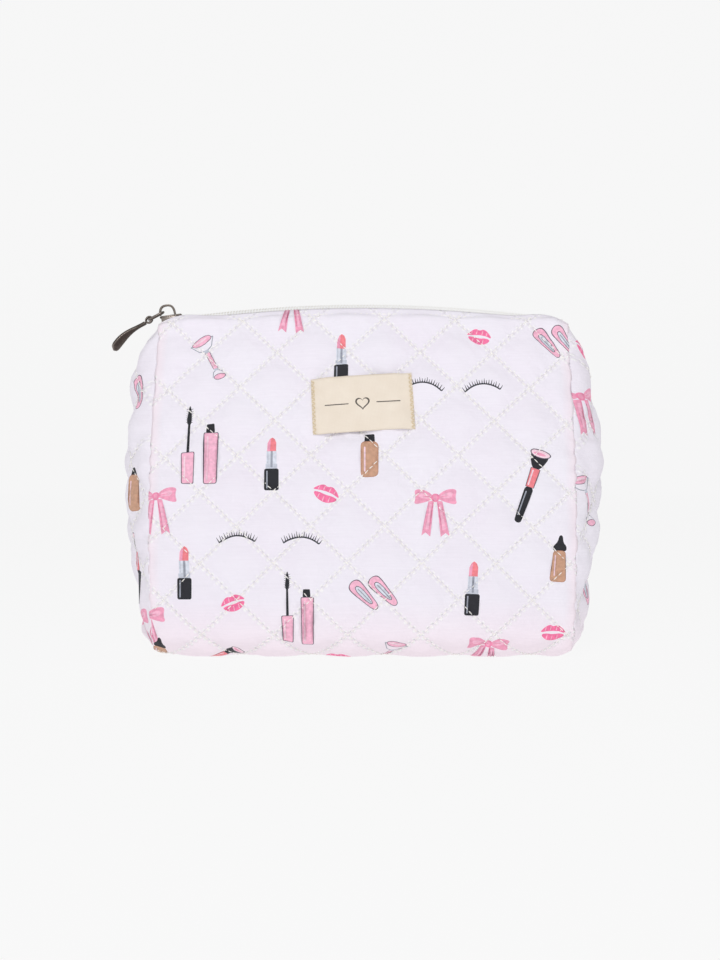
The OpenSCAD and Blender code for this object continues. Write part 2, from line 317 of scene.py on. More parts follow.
@dataclass
class BagForm:
    """Shape of the bag: where every point of its flat cloth lies.

    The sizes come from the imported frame; what the frame can't hold, such as how the cloth
    rolls in at a seam, is set here.
    """

    half_w: float
    half_d: float
    corner_r: float
    tape_y: float
    tape_z: float
    arch_r: float
    fold_y: float = 12.0
    fold_z: float = 173.0
    belly: float = 1.6
    fold_share: float = 0.4
    seam_roll: float = 2.6
    seam_reach: float = 4.2
    crown: float = 2.2
    bulge: float = 16.0
    foot_share: float = 0.993
    swell: float = 0.021
    swell_height: float = 170
    sway: float = 0.55
    seam_allowance: float = 6.0
    profile_step: float = 0.5
    profile: Array = field(init=False)
    edge: Array = field(init=False)

    @classmethod
    def from_frame(cls, frame: dict) -> BagForm:
        """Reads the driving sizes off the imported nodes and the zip's own axis.

        Args:
            frame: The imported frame.

        Returns:
            The form.
        """
        _, base_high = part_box("base_cover")
        _, back_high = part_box("back_cover")
        _, tape_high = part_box("back_zip_tape")
        travel = next(j for j in frame["joints"] if j["name"] == "zip_travel")
        hinge = next(j for j in frame["joints"] if j["name"] == "back_mouth")
        return cls(
            half_w=base_high.x / MM,
            half_d=hinge["pos_m"][1] / MM,
            corner_r=hinge["pos_m"][2] / MM,
            tape_y=tape_high.y / MM,
            tape_z=back_high.z / MM,
            arch_r=(tape_high.z - travel["pos_m"][2]) / MM,
        )

    def __post_init__(self) -> None:
        """Works out the profile from the bottom's middle to the tape, and the seam edge."""
        flat = np.linspace(0, self.half_d - self.corner_r, 40)
        turn = np.linspace(0, math.pi / 2, 30)[1:]
        t = np.linspace(0, 1, 160)[1:]
        rise = self.fold_z - self.corner_r
        lip = np.linspace(0, 1, 12)[1:]
        depth = np.concatenate([
            flat,
            flat[-1] + self.corner_r * np.sin(turn),
            self.fold_y + (self.half_d - self.fold_y) * (1 - t**self.belly),
            self.fold_y + (self.tape_y - self.fold_y) * lip,
        ])
        height = np.concatenate([
            0 * flat,
            self.corner_r * (1 - np.cos(turn)),
            self.corner_r + rise * t,
            self.fold_z + (self.tape_z - self.fold_z) * lip,
        ])
        share = np.concatenate([
            0 * flat, 0 * turn, self.fold_share * t, self.fold_share + (1 - self.fold_share) * lip,
        ])
        length = np.concatenate([[0], np.cumsum(np.hypot(np.diff(depth), np.diff(height)))])
        even = np.arange(0, length[-1], self.profile_step)
        rows = [np.interp(even, length, column) for column in (depth, height, share)]
        kernel = np.exp(-np.linspace(-2, 2, 9) ** 2)
        kernel /= kernel.sum()
        for row in rows[:2]:
            row[4:-4] = np.convolve(row, kernel, "valid")
        normal = np.stack([np.gradient(rows[1]), -np.gradient(rows[0])])
        normal /= np.linalg.norm(normal, axis=0)
        self.profile = np.stack([even, *rows, *normal])
        self.length = float(even[-1])
        v = np.arange(self.half_d - self.corner_r, self.length - self.seam_allowance, self.profile_step)
        self.edge = self.panel_base(np.full_like(v, self.half_w), v)

    def drop(self, x: Array) -> Array:
        """How far the zip's arch is below its middle at x."""
        return self.arch_r - np.sqrt(self.arch_r**2 - x**2)

    def v_at_height(self, z: float) -> float:
        """Place along the cloth of the front at a height above the floor."""
        start = int(self.half_d)
        return float(np.interp(z, self.profile[2][start:], self.profile[0][start:]))

    def panel_base(self, u: Array, v: Array) -> Array:
        """Where the outside of the wrapped panel would lie without its quilting.

        Args:
            u: Places across the cloth.
            v: Places along the cloth, positive on the front.

        Returns:
            Points in space, one row each.
        """
        along = np.abs(v)
        depth, height, share, ny, nz = (np.interp(along, self.profile[0], row) for row in self.profile[1:])
        wall = np.clip(height / self.fold_z, 0, 1)
        wide = np.sin(math.pi * np.clip(height / self.swell_height, 0, 1))
        x = u * (self.foot_share + self.swell * wide)
        out = self.crown * (1 - (u / self.half_w) ** 2) * np.sin(math.pi * wall)
        out = out - self.seam_roll * np.exp(-(self.half_w - np.abs(u)) / self.seam_reach)
        sway = np.sin(u / 31 + 1.3 + v / 90) * np.sin(v / 37 + 0.4) + 0.6 * np.sin(u / 17 - v / 23)
        out = out + self.sway * sway * np.clip(height / 40, 0, 1) * np.clip((self.length - along) / 20, 0, 1)
        y = (depth + ny * out) * -np.sign(v + 1e-9)
        z = height + nz * out - share * self.drop(x)
        return np.stack([x, y, z], axis=1)

    def gusset_base(self, a: Array, b: Array, end: End) -> Array:
        """Where the outside of a gusset would lie without its quilting.

        Args:
            a: Places across the gusset's cloth, 0 in the middle.
            b: Heights on the gusset's cloth.
            end: Which gusset.

        Returns:
            Points in space, one row each.
        """
        half, seam_x = self.gusset_half(b), np.interp(b, self.edge[:, 2], self.edge[:, 0])
        s = np.clip(np.abs(a) / half, 0, 1)
        up = (b - self.gusset_low) / (self.gusset_top - self.gusset_low)
        shape = np.interp(np.clip(up, 0, 1), GUSSET_HEIGHTS, GUSSET_PUFF)
        dome = np.maximum(0, 1 - s**2.4) ** 0.8
        sway = 1 + 0.07 * np.sin(b / 13 + end.value) * np.sin(a / 9 + 2 * end.value) + 0.05 * np.sin(b / 7.3)
        x = seam_x + self.bulge * shape * dome * sway - 0.6
        return np.stack([end.value * x, end.value * a, b], axis=1)

    def gusset_half(self, b: Array) -> Array:
        """Half the width of a gusset's cloth at a height."""
        return np.interp(b, self.edge[:, 2], np.abs(self.edge[:, 1]))

    @property
    def gusset_low(self) -> float:
        """Height of a gusset's lower edge."""
        return float(self.edge[0, 2])

    @property
    def gusset_top(self) -> float:
        """Height of a gusset's upper edge."""
        return float(self.edge[-1, 2])

    def arch_point(self, x: Array, y: Array, lift: float) -> Array:
        """Points on the zip's arch, a lift above the top of the tape.

        Args:
            x: Places across the bag.
            y: Place in depth.
            lift: Height above the top of the tape.

        Returns:
            Points in space, one row each.
        """
        radius = self.arch_r + lift
        top = self.tape_z - 0.2
        return np.stack([x, y, top - self.arch_r + np.sqrt(radius**2 - x**2)], axis=1)


def lifted(base: Surface, p: Array, q: Array, lift: Array | float) -> tuple[Array, Array]:
    """Points a lift above a surface, and the surface's normals there.

    Args:
        base: Function that gives points for two arrays of cloth coordinates.
        p: First cloth coordinate.
        q: Second cloth coordinate.
        lift: Height above the surface.

    Returns:
        The points and the unit normals.
    """
    step = 0.6
    across = base(p + step, q) - base(p - step, q)
    along = base(p, q + step) - base(p, q - step)
    normal = np.cross(across, along)
    normal /= np.maximum(np.linalg.norm(normal, axis=1, keepdims=True), 1e-9)
    return base(p, q) + normal * np.reshape(lift, (-1, 1)), normal


# ---- quilting


@dataclass
class Quilting:
    """Diamond quilting: where its lines run, and how the cloth puffs between them."""

    pitch: float = 36.6
    cross_u: float = 11.0
    cross_v: float = 140.2
    stitch_pitch: float = 3.2
    stitch_length: float = 2.7
    thread: float = 0.54
    valley: float = 2.0
    puff: float = 3.1
    grid_step: float = 2.2
    reach_u: float = 124.0
    reach_v: float = 232.0
    heights: Array = field(init=False)

    def line_distance(self, u: Array, v: Array) -> Array:
        """Distance from places on the cloth to the nearest quilting line.

        Args:
            u: Places across the cloth.
            v: Places along the cloth.

        Returns:
            One distance for each place.
        """
        p = ((u - self.cross_u) + (v - self.cross_v)) / self.pitch
        q = ((u - self.cross_u) - (v - self.cross_v)) / self.pitch
        near = np.minimum(np.abs(p - np.round(p)), np.abs(q - np.round(q)))
        return near * self.pitch / math.sqrt(2)

    def pucker(self, u: Array, v: Array) -> Array:
        """Small ridges that run away from the quilting lines into the pillows.

        Args:
            u: Places across the cloth.
            v: Places along the cloth.

        Returns:
            Their heights.
        """
        found = np.zeros_like(u)
        for slant in (1, -1):
            across = ((u - self.cross_u) + slant * (v - self.cross_v)) / math.sqrt(2)
            along = ((u - self.cross_u) - slant * (v - self.cross_v)) / math.sqrt(2)
            spacing = self.pitch / math.sqrt(2)
            line = np.round(across / spacing)
            off = np.abs(across - line * spacing)
            ridge = np.sin(along * 1.05 + 1.7 * np.sin(along / 6.3 + line * 2.1) + line)
            patchy = 0.55 + 0.45 * np.sin(along / 11 + line * 1.3 + slant)
            found = found + 0.3 * ridge * patchy * np.exp(-off / 4.2) * np.minimum(off / 0.8, 1)
        return found

    def settle(self) -> None:
        """Finds the height of the puffed cloth on a grid over the whole flat sheet.

        A cloth a little larger than its backing is held along the lines and falls away
        from them, which gives both the pillows and the small gathers beside the thread.
        """
        us = np.arange(-self.reach_u, self.reach_u + 0.1, self.grid_step)
        vs = np.arange(-self.reach_v, self.reach_v + 0.1, self.grid_step)
        grid_u, grid_v = np.meshgrid(us, vs)
        distance = self.line_distance(grid_u, grid_v)
        pillow = self.puff * (1 - np.exp(-((distance / 5.5) ** 1.3)))
        fallen = self._simulate(us, vs, distance)
        fallen = np.clip(fallen / max(np.percentile(fallen, 97), 0.1), 0, 1.15) * self.puff
        pillow = 0.35 * pillow + 0.65 * fallen
        self.heights = pillow - self.valley
        self.us, self.vs = us, vs

    def _simulate(self, us: Array, vs: Array, distance: Array) -> Array:
        """Runs the cloth on a flat sheet and returns how far each grid point fell.

        Args:
            us: Grid places across.
            vs: Grid places along.
            distance: Distance of each grid point from a quilting line.

        Returns:
            Falls in millimetres, one for each grid point.
        """
        bm = bmesh.new()
        bmesh.ops.create_grid(bm, x_segments=len(us) - 1, y_segments=len(vs) - 1, size=0.5)
        span_u, span_v = (us[-1] - us[0]) * MM, (vs[-1] - vs[0]) * MM
        bmesh.ops.scale(bm, vec=(span_u, span_v, 1), verts=bm.verts)
        mesh = bpy.data.meshes.new("flat_sheet")
        bm.to_mesh(mesh)
        bm.free()
        start = np.array([v.co for v in mesh.vertices])
        column = np.rint((start[:, 0] / span_u + 0.5) * (len(us) - 1)).astype(int)
        row = np.rint((start[:, 1] / span_v + 0.5) * (len(vs) - 1)).astype(int)
        rng = np.random.default_rng(SEED)
        start[:, 2] = -rng.uniform(0, 0.3, len(start)) * MM * (distance[row, column] > 2)
        mesh.vertices.foreach_set("co", start.ravel())
        obj = bpy.data.objects.new("flat_sheet", mesh)
        bpy.context.scene.collection.objects.link(obj)
        held = obj.vertex_groups.new(name="held")
        border = (row == 0) | (column == 0) | (row == len(vs) - 1) | (column == len(us) - 1)
        tight = np.nonzero((distance[row, column] < 1.1) | border)[0]
        held.add(tight.tolist(), 1.0, "REPLACE")
        cloth = obj.modifiers.new("cloth", "CLOTH")
        settings = cloth.settings
        settings.quality = 5
        settings.mass = 0.15
        settings.tension_stiffness = settings.compression_stiffness = settings.shear_stiffness = 15
        settings.bending_stiffness = 0.02
        settings.shrink_min = -0.028
        settings.vertex_group_mass = "held"
        cloth.collision_settings.use_collision = False
        scene = bpy.context.scene
        last = 18
        cloth.point_cache.frame_end = last
        for number in range(1, last + 1):
            scene.frame_set(number)
        solved = obj.evaluated_get(bpy.context.evaluated_depsgraph_get()).to_mesh()
        co = np.zeros(len(solved.vertices) * 3)
        solved.vertices.foreach_get("co", co)
        fallen = np.zeros(distance.shape)
        fallen[row, column] = -co.reshape(-1, 3)[:, 2] / MM
        bpy.data.objects.remove(obj)
        scene.frame_set(1)
        return np.maximum(fallen, 0)

    def height(self, u: Array, v: Array) -> Array:
        """Height of the quilted cloth above its even surface, between grid points.

        Args:
            u: Places across the cloth.
            v: Places along the cloth.

        Returns:
            Heights in millimetres.
        """
        x = np.clip((u - self.us[0]) / self.grid_step, 0, len(self.us) - 1.001)
        y = np.clip((v - self.vs[0]) / self.grid_step, 0, len(self.vs) - 1.001)
        i, j = x.astype(int), y.astype(int)
        fx, fy = x - i, y - j
        h = self.heights
        low = h[j, i] * (1 - fx) + h[j, i + 1] * fx
        high = h[j + 1, i] * (1 - fx) + h[j + 1, i + 1] * fx
        return low * (1 - fy) + high * fy + self.pucker(u, v)

    def stitches(self, inside: Surface, reach: float) -> Array:
        """Centres and directions of the stitches that lie inside an outline.

        Args:
            inside: Function that says which places on the cloth are kept.
            reach: How far from the origin the lines are followed.

        Returns:
            Rows of u, v and the line's direction in the flat.
        """
        found = []
        rng = np.random.default_rng(SEED)
        count = int(2 * reach / self.pitch) + 2
        last = int(1.5 * reach / self.stitch_pitch)
        steps = self.stitch_pitch * np.arange(-last, last)
        for slant in (1, -1):
            direction = np.array([1, -slant]) / math.sqrt(2)
            across = np.array([1, slant]) / math.sqrt(2)
            for k in range(-count, count + 1):
                foot = np.array([self.cross_u, self.cross_v]) + across * k * self.pitch / math.sqrt(2)
                points = foot + direction * steps[:, None]
                points = points + across * rng.normal(0, 0.12, (len(points), 1))
                keep = inside(points[:, 0], points[:, 1])
                turned = direction + across * rng.normal(0, 0.07, (len(points), 1))
                found.append(np.hstack([points, turned])[keep])
        return np.vstack(found)


# ---- print


@dataclass(frozen=True)
class Patch:
    """One flat shape of the print: its outline in millimetres and its colour."""

    outline: Array
    colour: Colour

    def placed(self, x: float, y: float, turn: float, size: float) -> Patch:
        """The same patch moved to a place on the cloth, turned in degrees and scaled."""
        c, s = math.cos(math.radians(turn)), math.sin(math.radians(turn))
        return Patch(size * self.outline @ np.array([[c, s], [-s, c]]) + [x, y], self.colour)


class Ink(Enum):
    """Printing inks, as sRGB."""

    LINE = "#55525E"
    BLACK = "#23242B"
    COAL = "#33343D"
    SILVER = "#C9CDDA"
    STEEL = "#9FA3B0"
    GLASS = "#DCE0EC"
    PINK = "#F8BBD3"
    DEEP_PINK = "#F08BB0"
    KISS = "#F778A6"
    CORAL = "#F4868F"
    ROSE = "#F2A3C0"
    PALE = "#F9D9E6"
    TAN = "#CC9F85"
    DARK_TAN = "#B98770"

    @property
    def paint(self) -> Colour:
        """Linear colour, with 1 as the mark of a printed place."""
        return linear(self.value)


def oval(x: float, y: float, rx: float, ry: float, ink: Ink, turn: float = 0.0, count: int = 18) -> Patch:
    """An ellipse.

    Args:
        x: Middle, across.
        y: Middle, up.
        rx: Half its width.
        ry: Half its height.
        ink: Its colour.
        turn: How far it is turned, in degrees.
        count: Number of corners.

    Returns:
        Its patch.
    """
    a = np.linspace(0, 2 * math.pi, count, endpoint=False)
    flat = Patch(np.stack([rx * np.cos(a), ry * np.sin(a)], axis=1), ink.paint)
    return flat.placed(x, y, turn, 1.0)


def bar(
    x: float, low: float, high: float, wide: float, ink: Ink, round_by: float = 0.5, top: float | None = None
) -> Patch:
    """An upright bar with rounded corners, which may have another width at its top.

    Args:
        x: Middle, across.
        low: Lower edge.
        high: Upper edge.
        wide: Width.
        ink: Its colour.
        round_by: Radius of the corners.
        top: Width at the top, if it differs.

    Returns:
        Its patch.
    """
    top = wide if top is None else top
    r = min(round_by, wide / 2, top / 2)
    points = []
    corners = (
        (wide / 2 - r, low + r, -90),
        (top / 2 - r, high - r, 0),
        (r - top / 2, high - r, 90),
        (r - wide / 2, low + r, 180),
    )
    for cx, cy, first in corners:
        for angle in range(first, first + 91, 30):
            points.append((x + cx + r * math.cos(math.radians(angle)), cy + r * math.sin(math.radians(angle))))
    return Patch(np.array(points), ink.paint)


def shape(points: Sequence[tuple[float, float]], ink: Ink) -> Patch:
    """A polygon with soft corners: each corner is cut twice.

    Args:
        points: Corners in order.
        ink: Its colour.

    Returns:
        Its patch.
    """
    p = np.array(points, float)
    for _ in range(2):
        after = np.roll(p, -1, axis=0)
        p = np.stack([0.75 * p + 0.25 * after, 0.25 * p + 0.75 * after], axis=1).reshape(-1, 2)
    return Patch(p, ink.paint)


def hard(points: Sequence[tuple[float, float]], ink: Ink) -> Patch:
    """A polygon with its corners kept."""
    return Patch(np.array(points, float), ink.paint)


def stroke(x0: float, y0: float, x1: float, y1: float, wide: float, ink: Ink, tip: float = 0.3) -> Patch:
    """A straight stroke that narrows to a share of its width at its end.

    Args:
        x0: Start, across.
        y0: Start, up.
        x1: End, across.
        y1: End, up.
        wide: Width.
        ink: Its colour.
        tip: Share of the width at the end.

    Returns:
        Its patch.
    """
    along = np.array([x1 - x0, y1 - y0])
    side = np.array([-along[1], along[0]]) / np.linalg.norm(along) * wide / 2
    a, b = np.array([x0, y0]), np.array([x1, y1])
    return Patch(np.array([a - side, b - side * tip, b + side * tip, a + side]), ink.paint)


class Motif(Enum):
    """The print's drawings: everyday make-up things, drawn plainly."""

    LIPSTICK = "lipstick"
    KISS = "kiss"
    BOW = "bow"
    ROLLER = "roller"
    CLIP = "clip"
    LASH = "lash"
    MASCARA = "mascara"
    FOUNDATION = "foundation"
    DROPPER = "dropper"
    BRUSH = "brush"

    def patches(self) -> list[Patch]:
        """The drawing's patches, lowest first, centred on the origin and upright."""
        return getattr(self, f"_{self.value}")()

    def _lipstick(self) -> list[Patch]:
        """An open lipstick."""
        return [
            bar(0, -13, -2.2, 7.2, Ink.BLACK, 0.9),
            bar(-2.2, -12, -3.2, 0.7, Ink.STEEL, 0.3),
            bar(0, -2.2, 0.2, 5.8, Ink.SILVER, 0.3),
            bar(0, 0.2, 7.0, 5.0, Ink.GLASS, 0.3),
            bar(0.1, -1.6, 6.6, 1.1, Ink.STEEL, 0.3),
            bar(-1.9, 0.4, 6.8, 0.5, Ink.SILVER, 0.2),
            hard(
                [(-2.2, 6.6), (2.2, 6.6), (2.2, 11.2), (1.5, 13.0), (0.2, 14.0), (-1.0, 13.2), (-2.1, 11.0)], Ink.CORAL
            ),
            hard([(-2.1, 6.8), (-0.8, 6.8), (-0.5, 13.2), (-1.0, 12.9), (-2.0, 10.9)], Ink.ROSE),
        ]

    def _kiss(self) -> list[Patch]:
        """A lip print."""
        upper = [
            (-7, 0.2), (-5, 2.6), (-2.2, 4.4), (-0.2, 3.4), (2.2, 4.5), (5.2, 2.4), (7, -0.2), (3.6, 0.9), (0.2, 1.2),
            (-3.6, 0.9)
        ]
        lower = [
            (-6.4, -0.6), (-3.4, -0.1), (0.2, -0.6), (3.6, -0.2), (6.4, -0.8), (4.4, -3.2), (0.4, -4.5), (-3.8, -3.4)
        ]
        lines = [
            (-4.2, 1.2, 1.8), (-1.6, 1.6, 2.0), (1.4, 1.5, 2.1), (3.8, 1.2, 1.6), (-3.2, -3.0, 2.2),
            (-0.6, -3.8, 2.5), (2.2, -3.4, 2.4)
        ]
        strokes = [stroke(x, y, x + 0.25, y + h, 0.34, Ink.PALE, 0.5) for x, y, h in lines]
        return [shape(upper, Ink.KISS), shape(lower, Ink.KISS), *strokes]

    def _bow(self) -> list[Patch]:
        """A ribbon bow with two tails."""
        found = []
        for s in (-1, 1):
            found.append(
                shape(
                    [(0, 7.4), (4.5 * s, 11.4), (10.6 * s, 11.8), (9.6 * s, 7.6), (10.8 * s, 3.6), (4.6 * s, 5.2)],
                    Ink.ROSE
                )
            )
            found.append(
                shape([(1.2 * s, 7.6), (4.8 * s, 9.6), (8.6 * s, 10.2), (8.0 * s, 7.4), (4.6 * s, 6.9)], Ink.PINK)
            )
            found.append(stroke(1.0 * s, 7.5, 6.2 * s, 8.3, 0.5, Ink.DEEP_PINK))
            found.append(
                hard(
                    [
                        (0.7 * s, 6.0), (3.4 * s, 5.6), (7.0 * s, -11.8), (5.0 * s, -10.2), (2.6 * s, -12.2),
                        (1.6 * s, -3)
                    ],
                    Ink.ROSE
                )
            )
            found.append(hard([(1.7 * s, 4.2), (2.9 * s, 4.0), (5.2 * s, -8.4), (3.4 * s, -8.8)], Ink.PINK))
            found.append(stroke(1.1 * s, 5.4, 3.3 * s, -9.4, 0.4, Ink.DEEP_PINK))
        found.append(shape([(-1.7, 5.4), (1.7, 5.4), (2.0, 9.4), (-2.0, 9.4)], Ink.DEEP_PINK))
        found.append(shape([(-1.0, 6.2), (0.8, 6.0), (1.0, 8.8), (-1.2, 8.8)], Ink.ROSE))
        return found

    def _roller(self) -> list[Patch]:
        """A face roller with a large and a small stone."""
        frame = [
            (-6.2, 10.2, 6.2, 10.2), (-6.2, 10.2, -3.4, 6.0), (6.2, 10.2, 3.4, 6.0), (-3.4, 6.0, 0, 4.6),
            (3.4, 6.0, 0, 4.6)
        ]
        small = [(-3.4, -11.4, -2.0, -8.6), (3.4, -11.4, 2.0, -8.6), (-2.0, -8.6, 0, -7.4), (2.0, -8.6, 0, -7.4)]
        return [
            *[stroke(*line, 0.45, Ink.STEEL, 1.0) for line in frame + small],
            oval(0, 10.4, 5.4, 2.1, Ink.LINE), oval(0, 10.4, 5.1, 1.8, Ink.PINK), oval(-0.6, 10.8, 3.6, 0.6, Ink.PALE),
            bar(0, -7.0, 4.4, 2.5, Ink.LINE, 0.4), bar(0, -6.9, 4.3, 2.1, Ink.PINK, 0.4),
            bar(-0.5, -6.0, 3.6, 0.5, Ink.PALE, 0.2),
            bar(0, 3.6, 5.4, 2.2, Ink.SILVER, 0.4), bar(0, -8.0, -6.6, 2.2, Ink.SILVER, 0.4),
            oval(0, -11.8, 3.1, 1.7, Ink.LINE), oval(0, -11.8, 2.8, 1.4, Ink.PINK),
        ]

    def _clip(self) -> list[Patch]:
        """A snap hair clip."""
        outer = [
            (-3.7, 5.4), (-3.2, 8.2), (0, 9.4), (3.2, 8.2), (3.7, 5.4), (2.7, -2), (1.9, -8.4), (0, -9.8), (-1.9, -8.4),
            (-2.7, -2)
        ]
        rim = shape(outer, Ink.LINE)
        return [
            rim.placed(0, 0, 0, 1.0),
            shape([(x * 0.88, y * 0.965) for x, y in outer], Ink.PINK),
            shape([(-1.9, 6.0), (1.9, 6.0), (1.2, -5.8), (-1.2, -5.8)], Ink.LINE),
            shape([(-1.6, 5.6), (1.6, 5.6), (0.9, -5.4), (-0.9, -5.4)], Ink.GLASS),
            bar(0, -5.0, 4.4, 0.5, Ink.STEEL, 0.2),
        ]

    def _lash(self) -> list[Patch]:
        """A strip of false lashes."""
        found = []
        xs = np.linspace(-8.8, 8.8, 15)
        ys = 2.4 - 0.042 * xs**2
        for i in range(14):
            found.append(stroke(xs[i], ys[i] - 1.6, xs[i + 1], ys[i + 1] - 1.6, 0.75, Ink.COAL, 1.0))
        for i, x in enumerate(np.linspace(-8.6, 8.8, 17)):
            y = 0.8 - 0.042 * x**2
            reach = 2.5 + 0.5 * math.sin(i * 2.3)
            found.append(stroke(x, y, x + 0.16 * x + 0.2 * math.sin(i * 1.7), y + reach, 0.62, Ink.COAL, 0.2))
        return found

    def _mascara(self) -> list[Patch]:
        """A mascara wand and its tube."""
        found = [
            bar(-5.2, -4.5, 11, 1.3, Ink.BLACK, 0.3, 1.0),
            shape([(-6.4, 9.6), (-4.0, 9.6), (-4.4, 16.5), (-5.2, 19.6), (-6.0, 16.5)], Ink.BLACK),
            *[stroke(-5.2 - 0.2, y, -5.2 - 1.6, y + 0.7, 0.34, Ink.BLACK) for y in np.arange(10.4, 18, 1.1)],
            *[stroke(-5.2 + 0.2, y, -5.2 + 1.6, y + 0.7, 0.34, Ink.BLACK) for y in np.arange(10.4, 18, 1.1)],
        ]
        for x, low, high, wide, top in ((-5.2, -18.4, -3.6, 5.6, 6.3), (5.0, -18.6, 5.8, 6.2, 6.8)):
            found.append(bar(x, low, high, wide, Ink.LINE, 0.8, top))
            found.append(bar(x, low + 0.3, high - 0.3, wide - 0.7, Ink.PINK, 0.7, top - 0.7))
            found.append(bar(x - 1.4, low + 2, high - 2, 0.7, Ink.PALE, 0.3))
        found.append(bar(4.6, 5.8, 9.8, 4.0, Ink.BLACK, 0.4, 3.6))
        return found

    def _foundation(self) -> list[Patch]:
        """A capped foundation bottle."""
        return [
            bar(0, 7.2, 11.2, 5.2, Ink.BLACK, 0.5, 4.8),
            bar(0, -11, 7.6, 8.8, Ink.DARK_TAN, 2.4), bar(0, -10.7, 7.3, 8.2, Ink.TAN, 2.2),
            bar(-2.4, -8, 4.6, 0.8, Ink.PALE, 0.4),
        ]

    def _dropper(self) -> list[Patch]:
        """A bottle with a pointed cap."""
        return [
            shape(
                [(-3.2, 3.4), (3.2, 3.4), (3.2, 6.2), (1.4, 8.0), (0.8, 11.6), (-0.8, 11.6), (-1.4, 8.0), (-3.2, 6.2)],
                Ink.BLACK
            ),
            bar(0, -12, 4.0, 8.2, Ink.DARK_TAN, 1.8, 6.4), bar(0, -11.7, 3.8, 7.6, Ink.TAN, 1.7, 5.9),
            bar(-1.9, -9, 1.6, 0.7, Ink.PALE, 0.3),
        ]

    def _brush(self) -> list[Patch]:
        """A powder brush."""
        return [
            shape([(-1.9, 8.4), (1.9, 8.4), (4.9, 16.8), (0, 18.2), (-4.9, 16.8)], Ink.BLACK),
            oval(0, 16.4, 4.8, 2.1, Ink.LINE), oval(0, 16.4, 4.3, 1.7, Ink.PALE), oval(-0.4, 16.2, 2.9, 0.7, Ink.ROSE),
            bar(0, -1.0, 9.0, 3.9, Ink.LINE, 0.3, 4.5), bar(0, -0.8, 8.8, 3.3, Ink.CORAL, 0.3, 3.9),
            bar(-0.9, 0, 8.0, 0.7, Ink.PALE, 0.3),
            bar(0, -18, -0.8, 3.2, Ink.BLACK, 1.5, 3.9), bar(-0.8, -14.5, -3, 0.6, Ink.STEEL, 0.3),
        ]


@dataclass(frozen=True)
class Placement:
    """Where one motif is printed: on the front, x across and z up from the floor."""

    motif: Motif
    x: float
    z: float
    turn: float = 0.0
    size: float = 1.0

    def patches(self, u: float, v: float) -> Iterable[Patch]:
        """The motif's patches on the flat cloth, centred on u and v."""
        for patch in self.motif.patches():
            yield patch.placed(u, v, self.turn, self.size)


FRONT_PRINT = tuple(Placement(*row) for row in (
    (Motif.ROLLER, -78, 153, 28),
    (Motif.BOW, -37, 175, 0, 0.95),
    (Motif.LIPSTICK, -11, 150),
    (Motif.LIPSTICK, -45, 97),
    (Motif.MASCARA, -81, 108, 0, 1.1),
    (Motif.KISS, 59.5, 163, -10, 0.95),
    (Motif.CLIP, 94.5, 161.5, 40),
    (Motif.CLIP, 104, 163, 40),
    (Motif.LASH, 31, 137, -4),
    (Motif.LASH, 60, 137, 4),
    (Motif.FOUNDATION, 3.5, 101),
    (Motif.BRUSH, 82.5, 87, -19, 1.1),
    (Motif.BOW, -102, 75),
    (Motif.LIPSTICK, -88, 43),
    (Motif.KISS, -18, 82, -18),
    (Motif.LASH, -62, 61, 2),
    (Motif.LASH, -30, 60, -2),
    (Motif.KISS, -64, 28, 20, 0.95),
    (Motif.MASCARA, -32, 25.5, 0, 0.97),
    (Motif.BOW, 36, 73),
    (Motif.CLIP, 1, 32, 44),
    (Motif.CLIP, 10.5, 34, 44),
    (Motif.LIPSTICK, 54.5, 35, -2),
    (Motif.DROPPER, 97, 51, -3),
    (Motif.KISS, 95, 13, -6),
    (Motif.BOW, 62, 2.2, -8),
    (Motif.ROLLER, 13, 1.5, -24),
    (Motif.BRUSH, -76.5, 0.2, -58),
    (Motif.KISS, -12, 0.5, 8),
    (Motif.BOW, -108, 14, 4),
    (Motif.DROPPER, -102.5, 2.2, -6),
    (Motif.LASH, 40, -15, 3),
    (Motif.FOUNDATION, -40, -16, 12),
))
LEFT_PRINT = tuple(Placement(*row) for row in (
    (Motif.CLIP, 13, 134, 20),
    (Motif.FOUNDATION, 22, 84, 5),
    (Motif.BRUSH, 27, 44, 12),
    (Motif.BOW, 30, 12, 8),
    (Motif.KISS, -12, 118, 14),
    (Motif.LIPSTICK, -8, 66, -8),
    (Motif.LASH, 0, 30),
    (Motif.ROLLER, -27, 40, -24),
    (Motif.DROPPER, -24, 86, 6),
))
RIGHT_PRINT = tuple(Placement(*row) for row in (
    (Motif.KISS, -5, 156, -30),
    (Motif.BOW, -18, 124, 2),
    (Motif.ROLLER, -28, 79, 12),
    (Motif.LIPSTICK, 8, 96, 8),
    (Motif.CLIP, -24, 34, 25),
    (Motif.FOUNDATION, 24, 52, -6),
    (Motif.LASH, 2, 22, 4),
    (Motif.KISS, -2, 55, 18),
    (Motif.DROPPER, 17, 124, 5),
))


